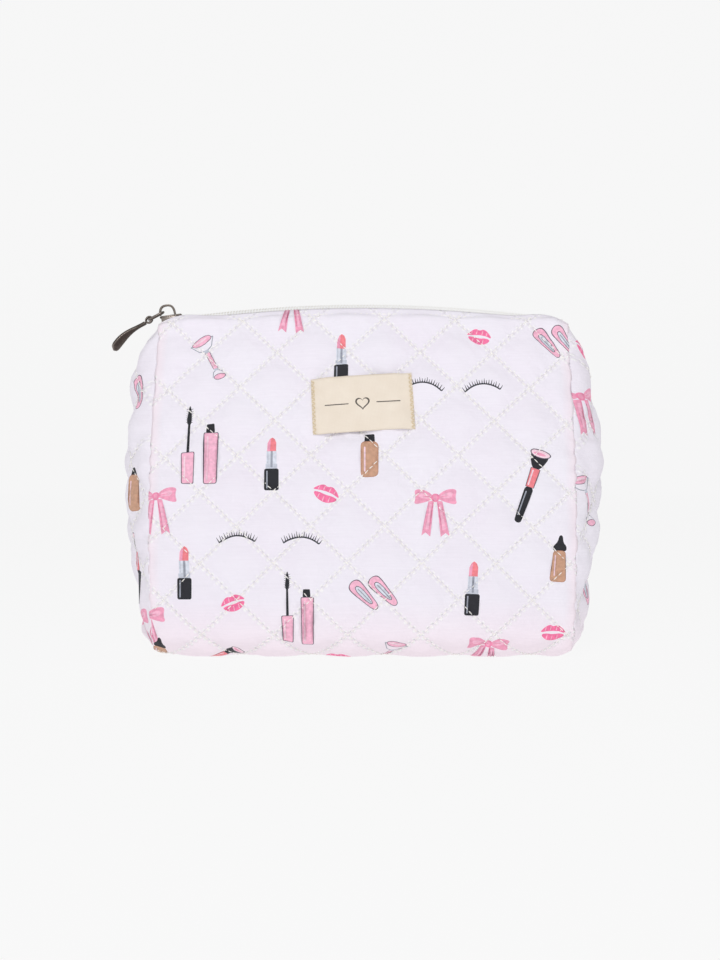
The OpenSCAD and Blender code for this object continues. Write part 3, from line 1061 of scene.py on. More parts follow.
@dataclass
class FlatCloth:
    """A flat piece of cloth with the outlines of its print cut into its faces."""

    outline: Array
    points: Array
    patches: list[Patch]

    def cut(self) -> tuple[Array, Array, Array]:
        """Triangulates the cloth so that every edge of the print is an edge of the mesh.

        Returns:
            Flat points, triangles, and one colour for each triangle. Alpha is 1 where the
            cloth is printed and 0 where it is bare.
        """
        low, high = self.outline.min(0) - 1, self.outline.max(0) + 1
        kept = [p for p in self.patches if (p.outline.max(0) > low).all() and (p.outline.min(0) < high).all()]
        loops = [self.outline, *[p.outline for p in kept]]
        coords = np.vstack([self.points, *loops])
        edges, start = [], len(self.points)
        for loop in loops:
            count = len(loop)
            edges += [(start + i, start + (i + 1) % count) for i in range(count)]
            start += count
        verts, _, faces, _, _, _ = delaunay_2d_cdt([Vector(c) for c in coords], edges, [], 0, 1e-4, False)
        flat, triangles = np.array(verts), np.array(faces)
        middle = flat[triangles].mean(axis=1)
        inside = self._inside(self.outline, middle)
        triangles, middle = triangles[inside], middle[inside]
        colours = np.zeros((len(triangles), 4))
        for patch in kept:
            near = np.nonzero((middle > patch.outline.min(0)).all(1) & (middle < patch.outline.max(0)).all(1))[0]
            colours[near[self._inside(patch.outline, middle[near])]] = patch.colour
        used, triangles = np.unique(triangles, return_inverse=True)
        return flat[used], triangles.reshape(-1, 3), colours

    @staticmethod
    def _inside(loop: Array, points: Array) -> Array:
        """Says which points lie inside a closed outline.

        Args:
            loop: Corners of the outline.
            points: Places to test.

        Returns:
            True for each place inside.
        """
        x, y = points[:, 0], points[:, 1]
        result = np.zeros(len(points), bool)
        for (x0, y0), (x1, y1) in zip(loop, np.roll(loop, -1, axis=0)):
            crosses = (y0 > y) != (y1 > y)
            if crosses.any():
                at = (x1 - x0) * (y[crosses] - y0) / (y1 - y0) + x0
                result[crosses] ^= x[crosses] < at
        return result


def even_border(corners: Sequence[tuple[float, float]], step: float) -> Array:
    """Points at even steps round a flat piece of cloth.

    Args:
        corners: Its corners in order.
        step: Distance between points.

    Returns:
        Places on the outline, one row each.
    """
    rows = []
    for a, b in zip(corners, [*corners[1:], corners[0]]):
        count = max(2, int(math.dist(a, b) / step))
        rows.append(np.linspace(a, b, count, endpoint=False))
    return np.vstack(rows)


# ---- finishes


@dataclass(frozen=True)
class Finish:
    """A surface finish; each kind builds its own material."""

    name: str

    def start(self, roughness: float, metallic: float = 0.0) -> tuple[Material, bpy.types.Node]:
        """Makes an empty material with its shader.

        Args:
            roughness: How matt it is.
            metallic: 1 for bare metal.

        Returns:
            The material and its shader.
        """
        material = bpy.data.materials.new(self.name)
        material.use_nodes = True
        shader = material.node_tree.nodes["Principled BSDF"]
        shader.inputs["Roughness"].default_value = roughness
        shader.inputs["Metallic"].default_value = metallic
        return material, shader


@dataclass(frozen=True)
class PrintedCotton(Finish):
    """Printed plain-weave cotton, matt, quilted: the weave is below what shows, so only its
    soft unevenness is drawn, with the needle holes and gathers beside the thread. Painted shade
    darkens the needle holes and tints the cloth pink by the side seams, a painted highlight
    lightens the beads of cloth beside the thread, and a painted floor reflection tints the
    cloth pink near the bottom."""

    cloth: str = "#F0EEF6"
    shadow: str = "#EDE5F1"
    # Pink used for a painted floor reflection near the bottom and for painted shade by the side seams.
    painted_light_pink: str = "#F6E6EF"
    pitch: float = 36.6
    cross_u: float = 11.0
    cross_v: float = 140.2
    stitch: float = 3.2

    def material(self) -> Material:
        """Builds the material, on the cloth's own flat coordinates in millimetres."""
        material, shader = self.start(roughness=0.86)
        tree = material.node_tree
        shader.inputs["Sheen Weight"].default_value = 0.12
        shader.inputs["Sheen Roughness"].default_value = 0.5
        flat = add_node(tree, "UVMap", uv_map="cloth")
        mm = add_node(tree, "VectorMath", {0: flat, 1: (1000, 1000, 1000)}, operation="MULTIPLY")
        holes, puckers = self._stitch_marks(tree, mm)
        broad = add_node(tree, "TexNoise", {"Vector": mm, "Scale": 0.028, "Detail": 2.0})
        mottle = add_node(tree, "Mix", {0: broad, 6: linear(self.cloth), 7: linear(self.shadow)})
        place = add_node(tree, "TexCoord", out="Object")
        height = add_node(tree, "SeparateXYZ", {0: place}, out=2)
        # Painted floor reflection: the cloth is mixed towards pink in its lowest 30 mm.
        low = add_node(tree, "MapRange", {0: height, 1: 0.0, 2: 0.03, 3: 0.9, 4: 0.0})
        with_painted_floor_reflection = add_node(tree, "Mix", {0: low, 6: mottle, 7: linear(self.painted_light_pink)})
        # Painted shade: the cloth is mixed towards pink where the panel turns in at its side seams (|u| from 100 to 106
        # mm).
        across = add_node(tree, "SeparateXYZ", {0: mm})
        seam = add_node(tree, "Math", {0: across}, operation="ABSOLUTE")
        seam = add_node(tree, "MapRange", {0: seam, 1: 100.0, 2: 106.0, 3: 0.0, 4: 0.8})
        with_painted_seam_shade = add_node(tree, "Mix", {0: seam, 6: with_painted_floor_reflection, 7: linear(self.painted_light_pink)})
        streaked = add_node(tree, "Mapping", {"Vector": mm, "Scale": (0.06, 1.3, 1.0)})
        slub = add_node(tree, "TexNoise", {"Vector": streaked, "Scale": 1.0, "Detail": 2.0})
        shade = add_node(tree, "MapRange", {0: slub, 1: 0.3, 2: 0.7, 3: 0.985, 4: 1.012})
        slub_and_painted_light = add_node(tree, "VectorMath", {0: with_painted_seam_shade, 3: shade}, operation="SCALE")
        # Painted highlight: the beads of cloth beside the thread are painted lighter; the bump raises them as well.
        with_painted_bead_highlight = add_node(tree, "Mix", {0: puckers, 6: slub_and_painted_light, 7: linear("#F8F6F8")})
        # Painted shade: the needle holes are painted darker; the bump sinks them as well.
        with_painted_hole_shade = add_node(tree, "Mix", {0: holes, 6: with_painted_bead_highlight, 7: linear("#ECE7EF")})
        printed = add_node(tree, "Attribute", attribute_name="print")
        wash = add_node(tree, "TexNoise", {"Vector": mm, "Scale": 0.55, "Detail": 3.0})
        tint = add_node(tree, "MapRange", {0: wash, 1: 0.3, 2: 0.75, 3: 0.84, 4: 1.12})
        ink = add_node(tree, "VectorMath", {0: printed, 3: tint}, operation="SCALE")
        colour = add_node(tree, "Mix", {0: printed.node.outputs["Alpha"], 6: with_painted_hole_shade, 7: ink})
        tree.links.new(colour, shader.inputs["Base Color"])
        fine = add_node(tree, "TexNoise", {"Vector": mm, "Scale": 1.6, "Detail": 3.0})
        crease = add_node(tree, "TexNoise", {"Vector": mm, "Scale": 0.16, "Detail": 3.0, "Distortion": 0.8})
        relief = add_node(tree, "Math", {0: crease, 1: 3.4, 2: fine}, operation="MULTIPLY_ADD")
        sunk = add_node(tree, "Math", {0: holes, 1: -2.0, 2: relief}, operation="MULTIPLY_ADD")
        sunk = add_node(tree, "Math", {0: puckers, 1: 1.8, 2: sunk}, operation="MULTIPLY_ADD")
        bump = add_node(tree, "Bump", {"Height": sunk, "Distance": 0.00022, "Strength": 0.7})
        tree.links.new(bump, shader.inputs["Normal"])
        return material

    def _stitch_marks(self, tree: NodeTree, mm: NodeSocket) -> tuple[NodeSocket, NodeSocket]:
        """Marks the needle holes between stitches and the beads of cloth that the thread
        squeezes up on both sides, half a stitch apart.

        Args:
            tree: Node tree of the material.
            mm: Place on the cloth, in millimetres.

        Returns:
            Two outputs, from 0 to 1: holes and beads.
        """
        spacing = self.pitch / math.sqrt(2)
        holes, puckers = [], []
        for slant in (45, -45):
            turned = add_node(
                tree, "VectorRotate",
                {"Vector": mm, "Center": (self.cross_u, self.cross_v, 0), "Angle": math.radians(slant)},
                rotation_type="Z_AXIS"
            )
            moved = add_node(tree, "VectorMath", {0: turned, 1: (self.cross_u, self.cross_v, 0)}, operation="SUBTRACT")
            parts = add_node(tree, "SeparateXYZ", {0: moved})
            off = add_node(tree, "Math", {0: parts.node.outputs[1], 1: spacing / 2, 2: -spacing / 2}, operation="WRAP")
            gap = add_node(tree, "Math", {0: off}, operation="ABSOLUTE")
            near = add_node(tree, "MapRange", {0: gap, 1: 0.1, 2: 1.0, 3: 1.0, 4: 0.0}, interpolation_type="SMOOTHSTEP")
            step = add_node(tree, "Math", {0: parts, 1: self.stitch / 2}, operation="PINGPONG")
            end = add_node(
                tree, "MapRange", {0: step, 1: self.stitch / 2 - 0.9, 2: self.stitch / 2 - 0.1},
                interpolation_type="SMOOTHSTEP"
            )
            holes.append(add_node(tree, "Math", {0: near, 1: end}, operation="MULTIPLY"))
            side = add_node(tree, "Math", {0: off, 1: 0.0}, operation="GREATER_THAN")
            moved = add_node(tree, "Math", {0: side, 1: self.stitch / 2, 2: parts}, operation="MULTIPLY_ADD")
            wave = add_node(tree, "Math", {0: moved, 1: self.stitch / 2}, operation="PINGPONG")
            bead = add_node(
                tree, "MapRange", {0: wave, 1: 0.2, 2: 1.3, 3: 1.0, 4: 0.0}, interpolation_type="SMOOTHSTEP"
            )
            away = add_node(tree, "Math", {0: gap, 1: 1.0}, operation="SUBTRACT")
            away = add_node(tree, "Math", {0: away}, operation="ABSOLUTE")
            band = add_node(
                tree, "MapRange", {0: away, 1: 0.1, 2: 0.9, 3: 1.0, 4: 0.0}, interpolation_type="SMOOTHSTEP"
            )
            puckers.append(add_node(tree, "Math", {0: bead, 1: band}, operation="MULTIPLY"))
        return tuple(add_node(tree, "Math", {0: m[0], 1: m[1]}, operation="MAXIMUM") for m in (holes, puckers))


@dataclass(frozen=True)
class SpunThread(Finish):
    """Spun polyester sewing thread: soft, with the twist of its plies drawn a little coarse."""

    colour: str = "#FFFDF8"
    dark: str = "#F4F0EC"
    ply: float = 0.7

    def material(self) -> Material:
        """Builds the material on Object coordinates."""
        material, shader = self.start(roughness=0.62)
        tree = material.node_tree
        place = add_node(tree, "TexCoord", out="Object")
        turned = add_node(tree, "Mapping", {"Vector": place, "Rotation": (0.3, 0.5, 0.6), "Scale": (1000, 1000, 1000)})
        twist = add_node(tree, "TexWave", {"Vector": turned, "Scale": 0.314 / self.ply, "Distortion": 0.6})
        colour = add_node(tree, "Mix", {0: twist, 6: linear(self.dark), 7: linear(self.colour)})
        tree.links.new(colour, shader.inputs["Base Color"])
        bump = add_node(tree, "Bump", {"Height": twist, "Distance": 0.0001, "Strength": 0.5})
        tree.links.new(bump, shader.inputs["Normal"])
        return material


@dataclass(frozen=True)
class WovenTape(Finish):
    """Woven polyester tape or lining cloth: matt, with ribs across it."""

    colour: str = "#EDE6DA"
    dark: str = "#D9CFC0"
    rib: float = 0.8
    weft: float = 1.1

    def material(self) -> Material:
        """Builds the material on Object coordinates, with ribs across X and Z."""
        material, shader = self.start(roughness=0.9)
        tree = material.node_tree
        place = add_node(tree, "TexCoord", out="Object")
        mm = add_node(tree, "Mapping", {"Vector": place, "Scale": (1000, 1000, 1000)})
        warp = add_node(tree, "TexWave", {"Vector": mm, "Scale": 0.314 / self.rib}, bands_direction="X")
        weft = add_node(tree, "TexWave", {"Vector": mm, "Scale": 0.314 / self.weft}, bands_direction="DIAGONAL")
        weave = add_node(tree, "Math", {0: warp, 1: weft}, operation="MULTIPLY")
        uneven = add_node(tree, "TexNoise", {"Vector": mm, "Scale": 0.12, "Detail": 3.0})
        mixed = add_node(tree, "Math", {0: weave, 1: 0.5, 2: uneven}, operation="MULTIPLY_ADD")
        colour = add_node(tree, "Mix", {0: mixed, 6: linear(self.dark), 7: linear(self.colour)})
        tree.links.new(colour, shader.inputs["Base Color"])
        bump = add_node(tree, "Bump", {"Height": weave, "Distance": 0.00012, "Strength": 0.6})
        tree.links.new(bump, shader.inputs["Normal"])
        return material


@dataclass(frozen=True)
class WovenLabel(Finish):
    """Damask-woven label: fine satin ribs, matt, with the motif woven in darker thread."""

    colour: str = "#EFE4D6"
    dark: str = "#E3D5C4"
    rib: float = 0.7

    def material(self) -> Material:
        """Builds the material on the label's own flat coordinates."""
        material, shader = self.start(roughness=0.8)
        tree = material.node_tree
        flat = add_node(tree, "UVMap", uv_map="cloth")
        mm = add_node(tree, "VectorMath", {0: flat, 1: (1000, 1000, 1000)}, operation="MULTIPLY")
        rows = add_node(tree, "TexWave", {"Vector": mm, "Scale": 0.314 / self.rib}, bands_direction="Y")
        picks = add_node(tree, "TexWave", {"Vector": mm, "Scale": 0.314 / self.rib}, bands_direction="X")
        weave = add_node(tree, "Math", {0: rows, 1: picks}, operation="MULTIPLY")
        cloudy = add_node(tree, "TexNoise", {"Vector": mm, "Scale": 0.1, "Detail": 3.0})
        mixed = add_node(tree, "Math", {0: weave, 1: 0.4, 2: cloudy}, operation="MULTIPLY_ADD")
        ground = add_node(tree, "Mix", {0: mixed, 6: linear(self.dark), 7: linear(self.colour)})
        woven = add_node(tree, "Attribute", attribute_name="print")
        colour = add_node(tree, "Mix", {0: woven.node.outputs["Alpha"], 6: ground, 7: woven})
        tree.links.new(colour, shader.inputs["Base Color"])
        bump = add_node(tree, "Bump", {"Height": weave, "Distance": 0.00003, "Strength": 0.3})
        tree.links.new(bump, shader.inputs["Normal"])
        return material


@dataclass(frozen=True)
class NylonCoil(Finish):
    """Drawn nylon monofilament: milky, a little glossy, slightly uneven in colour."""

    colour: str = "#F1EDE2"
    dark: str = "#DDD6C6"

    def material(self) -> Material:
        """Builds the material on Object coordinates."""
        material, shader = self.start(roughness=0.38)
        tree = material.node_tree
        place = add_node(tree, "TexCoord", out="Object")
        uneven = add_node(tree, "TexNoise", {"Vector": place, "Scale": 260.0, "Detail": 2.0})
        colour = add_node(tree, "Mix", {0: uneven, 6: linear(self.dark), 7: linear(self.colour)})
        tree.links.new(colour, shader.inputs["Base Color"])
        return material


@dataclass(frozen=True)
class GunmetalPlate(Finish):
    """Zinc casting with dark gunmetal plating, brushed along its length, brown in the
    hollows and paler where handling has worn it."""

    plating: str = "#574E48"
    worn: str = "#9A918B"
    grain: float = 0.35

    def material(self) -> Material:
        """Builds the material on Object coordinates."""
        material, shader = self.start(roughness=0.34, metallic=1.0)
        tree = material.node_tree
        place = add_node(tree, "TexCoord", out="Object")
        streaks = add_node(tree, "Mapping", {"Vector": place, "Scale": (300, 2400, 300)})
        brushed = add_node(tree, "TexNoise", {"Vector": streaks, "Scale": self.grain, "Detail": 3.0})
        patchy = add_node(tree, "TexNoise", {"Vector": place, "Scale": 320.0, "Detail": 3.0})
        edges = add_node(tree, "NewGeometry", out="Pointiness")
        rub = add_node(tree, "MapRange", {0: edges, 1: 0.5, 2: 0.62, 3: 0.0, 4: 0.9})
        wear = add_node(tree, "Math", {0: patchy, 1: 0.5, 2: rub}, operation="MULTIPLY_ADD")
        amount = add_node(tree, "MapRange", {0: wear, 1: 0.28, 2: 1.0, 3: 0.0, 4: 1.0})
        colour = add_node(tree, "Mix", {0: amount, 6: linear(self.plating), 7: linear(self.worn)})
        tree.links.new(colour, shader.inputs["Base Color"])
        rough = add_node(tree, "MapRange", {0: brushed, 1: 0.3, 2: 0.7, 3: 0.26, 4: 0.46})
        tree.links.new(rough, shader.inputs["Roughness"])
        bump = add_node(tree, "Bump", {"Height": brushed, "Distance": 0.00006, "Strength": 0.4})
        tree.links.new(bump, shader.inputs["Normal"])
        return material


@dataclass(frozen=True)
class PaperSweep(Finish):
    """Matt white background paper, lit from behind so that it stays even."""

    colour: str = "#F9F9F9"
    glow: float = 0.94

    def material(self) -> Material:
        """Builds the material: most of its light is its own, the rest is reflected."""
        material, shader = self.start(roughness=0.95)
        r, g, b, _ = linear(self.colour)
        rest = 1 - self.glow
        shader.inputs["Base Color"].default_value = (r * rest, g * rest, b * rest, 1)
        shader.inputs["Specular IOR Level"].default_value = 0.0
        shader.inputs["Emission Color"].default_value = linear(self.colour)
        shader.inputs["Emission Strength"].default_value = self.glow
        return material


# ---- bag body


def bend_with_mouth(obj: Object, side: Side, form: BagForm) -> None:
    """Makes a piece bow out with its wall as the mouth opens.

    The ends of the zip stay together, so the share of the wall's motion that a point
    takes falls away towards both side seams.

    Args:
        obj: The finished piece, with no parent.
        side: Wall that it belongs to.
        form: Shape of the bag.
    """
    y = -side.value * form.half_d * MM
    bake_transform(obj, "shell", side.body, start=(0, y, 12 * MM), end=(0, y, 78 * MM))
    layer = obj.data.attributes["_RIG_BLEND"].data
    share = np.zeros(len(layer), np.float32)
    layer.foreach_get("value", share)
    co = np.zeros(len(obj.data.vertices) * 3, np.float32)
    obj.data.vertices.foreach_get("co", co)
    reach = np.clip(1 - (co[::3] / (form.half_w * 0.965 * MM)) ** 2, 0, 1)
    layer.foreach_set("value", (share * reach**1.4).astype(np.float32))


@dataclass
class QuiltedShell:
    """Wrapped panel and gussets: cover and wadding, sewn together in diamonds."""

    form: BagForm
    quilting: Quilting
    cotton: Material
    thread: Material
    step: float = 1.4
    thickness: float = 3.2
    print_repeat: float = 204.0
    print_shift: float = 23.0
    print_margin: float = 8
    hem_stitch: float = 3.6
    topstitch_depth: float = 0.9
    rim_folds: float = 0.38
    seam_gathers: float = 0.5
    lip: float = 2.7
    lip_u: float = 94

    def build(self) -> None:
        """Builds the two halves of the wrapped panel, both gussets and their thread."""
        for side in Side:
            nodes = [f"{side.word}_cover", f"{side.word}_wadding"]
            if side is Side.FRONT:
                nodes += ["base_cover", "base_wadding"]
            panel = self._panel(side)
            bend_with_mouth(panel, side, self.form)
            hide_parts(*nodes)
            thread = self._panel_thread(side)
            bend_with_mouth(thread, side, self.form)
            LOG.info("%s panel: %d faces", side.word, len(panel.data.polygons))
        for end in End:
            gusset = self._gusset(end)
            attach(gusset, "shell")
            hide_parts(f"{end.word}_gusset_cover", f"{end.word}_gusset_wadding")
            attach(self._gusset_thread(end), "shell")
            LOG.info("%s gusset: %d faces", end.word, len(gusset.data.polygons))

    def panel_lift(self, u: Array, v: Array) -> Array:
        """Height of the quilted panel over its even surface, with its edges drawn in.

        Args:
            u: Places across the cloth.
            v: Places along the cloth.

        Returns:
            Heights in millimetres.
        """
        form = self.form
        lift = self.quilting.height(u, v)
        seam, hem = form.half_w - np.abs(u), form.length - np.abs(v)
        folds = np.sin(u / 2.9 + 1.9 * np.sin(u / 17))
        rim = self.rim_folds * np.exp(-np.maximum(hem, 0) / 20) * folds
        ripple = np.sin(v / 1.9 + 2.2 * np.sin(v / 11))
        gathers = self.seam_gathers * np.exp(-seam / 7) * ripple * np.sin(v / 13 + 0.5)
        topstitch = -self.topstitch_depth * np.exp(-(((hem - self.hem_stitch) / 1.1) ** 2))
        keep = smooth_step((seam - 1.0) / 7) * smooth_step((hem - 2.4) / 5)
        flat = smooth_step((np.abs(v) - 20) / 30)
        lip = self.lip * np.exp(-(((np.abs(u) - self.lip_u) / 13) ** 2)) * (1 - smooth_step(hem / 16))
        return (lift + rim) * keep * (0.35 + 0.65 * flat) + gathers * flat + topstitch + lip - 0.25 * (1 - keep)

    def _panel(self, side: Side) -> Object:
        """Cuts, prints and folds one half of the wrapped panel.

        Args:
            side: Front or back.

        Returns:
            The piece.
        """
        form = self.form
        us = np.linspace(-form.half_w, form.half_w, int(2 * form.half_w / self.step))
        vs = np.linspace(0, form.length, int(form.length / self.step)) * side.value
        grid = np.stack(np.meshgrid(us[1:-1], vs[1:-1]), axis=-1).reshape(-1, 2)
        corners = [(us[0], vs[0]), (us[-1], vs[0]), (us[-1], vs[-1]), (us[0], vs[-1])]
        border = even_border(corners, self.step)
        flat, triangles, colours = FlatCloth(border, grid, list(self._panel_print())).cut()
        u, v = flat[:, 0], flat[:, 1]
        points, _ = lifted(form.panel_base, u, v, self.panel_lift(u, v))
        points[:, 2] = np.maximum(points[:, 2], 0.05)
        inner, _ = lifted(form.panel_base, u, v, -self.thickness)
        inner[:, 2] = np.maximum(inner[:, 2], self.thickness)
        return self._solid(f"{side.word}_panel", flat, triangles, colours, points, inner)

    def _panel_print(self) -> Iterable[Patch]:
        """The print of the whole wrapped panel: it repeats along the cloth, so it is
        upside down on the back."""
        margin, width = self.print_margin, 2 * (self.form.half_w + self.print_margin)
        for place in FRONT_PRINT:
            v = self.form.v_at_height(max(place.z, 0)) + min(place.z, 0)
            for turn in (0, 1, 2):
                shifted = place.x + self.print_shift * turn + self.form.half_w
                u = (shifted + margin) % width - self.form.half_w - margin
                yield from place.patches(u, v - self.print_repeat * turn)

    def _solid(self, name: str, flat: Array, triangles: Array, colours: Array, outer: Array, inner: Array) -> Object:
        """Joins a folded cloth to the inner face of its wadding.

        Args:
            name: Name of the piece.
            flat: Flat coordinates of the points.
            triangles: Faces.
            colours: Print colour of each face.
            outer: Folded points of the cloth.
            inner: Folded points of the inner face.

        Returns:
            A closed piece, printed on its outer face.
        """
        bm = bmesh.new()
        uv = bm.loops.layers.uv.new("cloth")
        baked = bm.loops.layers.uv.new("OFBake")
        ink = bm.loops.layers.float_color.new("print")
        low, span = flat.min(0), np.ptp(flat, axis=0)
        verts = [bm.verts.new(p) for p in outer.tolist()]
        for corners, colour in zip(triangles.tolist(), colours.tolist()):
            face = bm.faces.new([verts[i] for i in corners])
            for loop, i in zip(face.loops, corners):
                loop[uv].uv = flat[i] * MM
                loop[baked].uv = (flat[i] - low) / span * 0.96
                loop[ink] = colour
        below = [bm.verts.new(p) for p in inner.tolist()]
        for corners in triangles[:, ::-1].tolist():
            face = bm.faces.new([below[i] for i in corners])
            for loop, i in zip(face.loops, corners):
                loop[uv].uv = flat[i] * MM
                loop[baked].uv = (0.965 + 0.03 * (flat[i][0] - low[0]) / span[0], 0.5)
        bmesh.ops.bridge_loops(bm, edges=[e for e in bm.edges if e.is_boundary])
        bmesh.ops.recalc_face_normals(bm, faces=bm.faces)
        obj = finish_mesh(name, bm, self.cotton)
        return obj

    def _sew(self, name: str, base: Surface, rows: Array, lift: Surface) -> Object:
        """Lays stitches on a folded surface.

        Args:
            name: Name of the piece.
            base: Surface without its quilting.
            rows: Rows of u, v and direction.
            lift: Height of the cloth over that surface.

        Returns:
            The thread, as one piece.
        """
        u, v = rows[:, 0], rows[:, 1]
        q = self.quilting
        points, normals = lifted(base, u, v, lift(u, v) + q.thread * 0.25)
        ahead, _ = lifted(base, u + rows[:, 2], v + rows[:, 3], lift(u + rows[:, 2], v + rows[:, 3]))
        behind, _ = lifted(base, u - rows[:, 2], v - rows[:, 3], lift(u - rows[:, 2], v - rows[:, 3]))
        thread = scatter(
            name, stitch_shape(q.stitch_length, q.thread), frames_along(points, ahead - behind, normals), self.thread
        )
        return thread

    def _panel_thread(self, side: Side) -> Object:
        """The quilting thread of one half of the panel, with the hem's topstitching.

        Args:
            side: Front or back.

        Returns:
            The thread.
        """
        form = self.form

        def inside(u: Array, v: Array) -> Array:
            """Keeps clear of the edges."""
            along = v * side.value
            return (np.abs(u) < form.half_w - 2.5) & (along > 0) & (along < form.length - 5)

        rows = self.quilting.stitches(inside, form.length)
        us = np.arange(-form.half_w + 3, form.half_w - 3, 3.0)
        hem = np.stack([us, np.full_like(us, side.value * (form.length - self.hem_stitch)), 1 + 0 * us, 0 * us], axis=1)
        return self._sew(f"{side.word}_quilting_thread", form.panel_base, np.vstack([rows, hem]), self.panel_lift)

    def _gusset_coords(self, end: End) -> tuple[float, float]:
        """Where a gusset was cut from the quilted sheet: its lines don't meet the panel's."""
        return (14.0, 60.0) if end is End.LEFT else (-9.0, 96.0)

    def gusset_lift(self, end: End) -> Surface:
        """Height of a quilted gusset over its even surface.

        Args:
            end: Left or right.

        Returns:
            Function of places across and heights.
        """
        form, (du, dv) = self.form, self._gusset_coords(end)

        def lift(a: Array, b: Array) -> Array:
            """Height at places on the gusset."""
            seam = np.minimum(form.gusset_half(b) - np.abs(a), np.minimum(b - form.gusset_low, form.gusset_top - b))
            keep = smooth_step(seam / 8)
            ripple = np.sin(b / 2.3 + 2.0 * np.sin(b / 9))
            gathers = 0.9 * np.exp(-np.maximum(seam, 0) / 11) * ripple * np.sin(b / 15 + 1)
            return self.quilting.height(a + du, b + dv) * keep * 1.15 + gathers * smooth_step(seam / 3)

        return lift

    def _gusset(self, end: End) -> Object:
        """Cuts, prints and folds one gusset.

        Args:
            end: Left or right.

        Returns:
            The piece.
        """
        form = self.form
        rows = []
        levels = np.linspace(form.gusset_low, form.gusset_top, int((form.gusset_top - form.gusset_low) / self.step))
        for b in levels:
            half = float(form.gusset_half(b))
            count = max(5, int(2 * half / self.step))
            a = half * np.sin(np.linspace(-math.pi / 2, math.pi / 2, count))
            rows.append(np.stack([a, np.full_like(a, b)], axis=1))
        inner = np.vstack([row[1:-1] for row in rows[1:-1]])
        edge = np.vstack([rows[0], [row[-1] for row in rows[1:-1]], rows[-1][::-1], [row[0] for row in rows[-2:0:-1]]])
        prints = LEFT_PRINT if end is End.LEFT else RIGHT_PRINT
        patches = [patch for place in prints for patch in place.patches(place.x, place.z)]
        flat, triangles, colours = FlatCloth(edge, inner, patches).cut()
        a, b = flat[:, 0], flat[:, 1]

        def base(p: Array, q: Array) -> Array:
            """The gusset without its quilting."""
            return form.gusset_base(p, q, end)

        points, _ = lifted(base, a, b, self.gusset_lift(end)(a, b))
        inner = base(
            a * (1 - 2.0 / np.maximum(form.gusset_half(b), 6)), np.clip(b, form.gusset_low + 2, form.gusset_top - 2)
        )
        inner[:, 0] -= end.value * self.thickness
        shifted = flat + self._gusset_coords(end)
        return self._solid(f"{end.word}_gusset", shifted, triangles, colours, points, inner)

    def _gusset_thread(self, end: End) -> Object:
        """The quilting thread of one gusset.

        Args:
            end: Left or right.

        Returns:
            The thread.
        """
        form, (du, dv) = self.form, self._gusset_coords(end)

        def inside(u: Array, v: Array) -> Array:
            """Keeps clear of the edges."""
            a, b = u - du, v - dv
            room = form.gusset_half(b) - np.abs(a)
            return (room > 4) & (b > form.gusset_low + 4) & (b < form.gusset_top - 4)

        rows = self.quilting.stitches(inside, form.length) - np.array([du, dv, 0, 0])

        def base(p: Array, q: Array) -> Array:
            """The gusset without its quilting."""
            return form.gusset_base(p, q, end)

        return self._sew(f"{end.word}_gusset_thread", base, rows, self.gusset_lift(end))


def stitch_shape(length: float, thick: float) -> BMesh:
    """One stitch: a plump thread that dives into the cloth at both ends.

    Args:
        length: Length from tip to tip.
        thick: Thickness.

    Returns:
        The stitch, along X.
    """
    bm = bmesh.new()
    bmesh.ops.create_uvsphere(bm, u_segments=6, v_segments=5, radius=1.0)
    turn_shape(bm, math.pi / 2, "Y")
    bmesh.ops.scale(bm, vec=(length / 2, thick / 2, thick / 2), verts=bm.verts)
    for vert in bm.verts:
        vert.co.z -= 0.35 * thick * (2 * vert.co.x / length) ** 4
    return bm


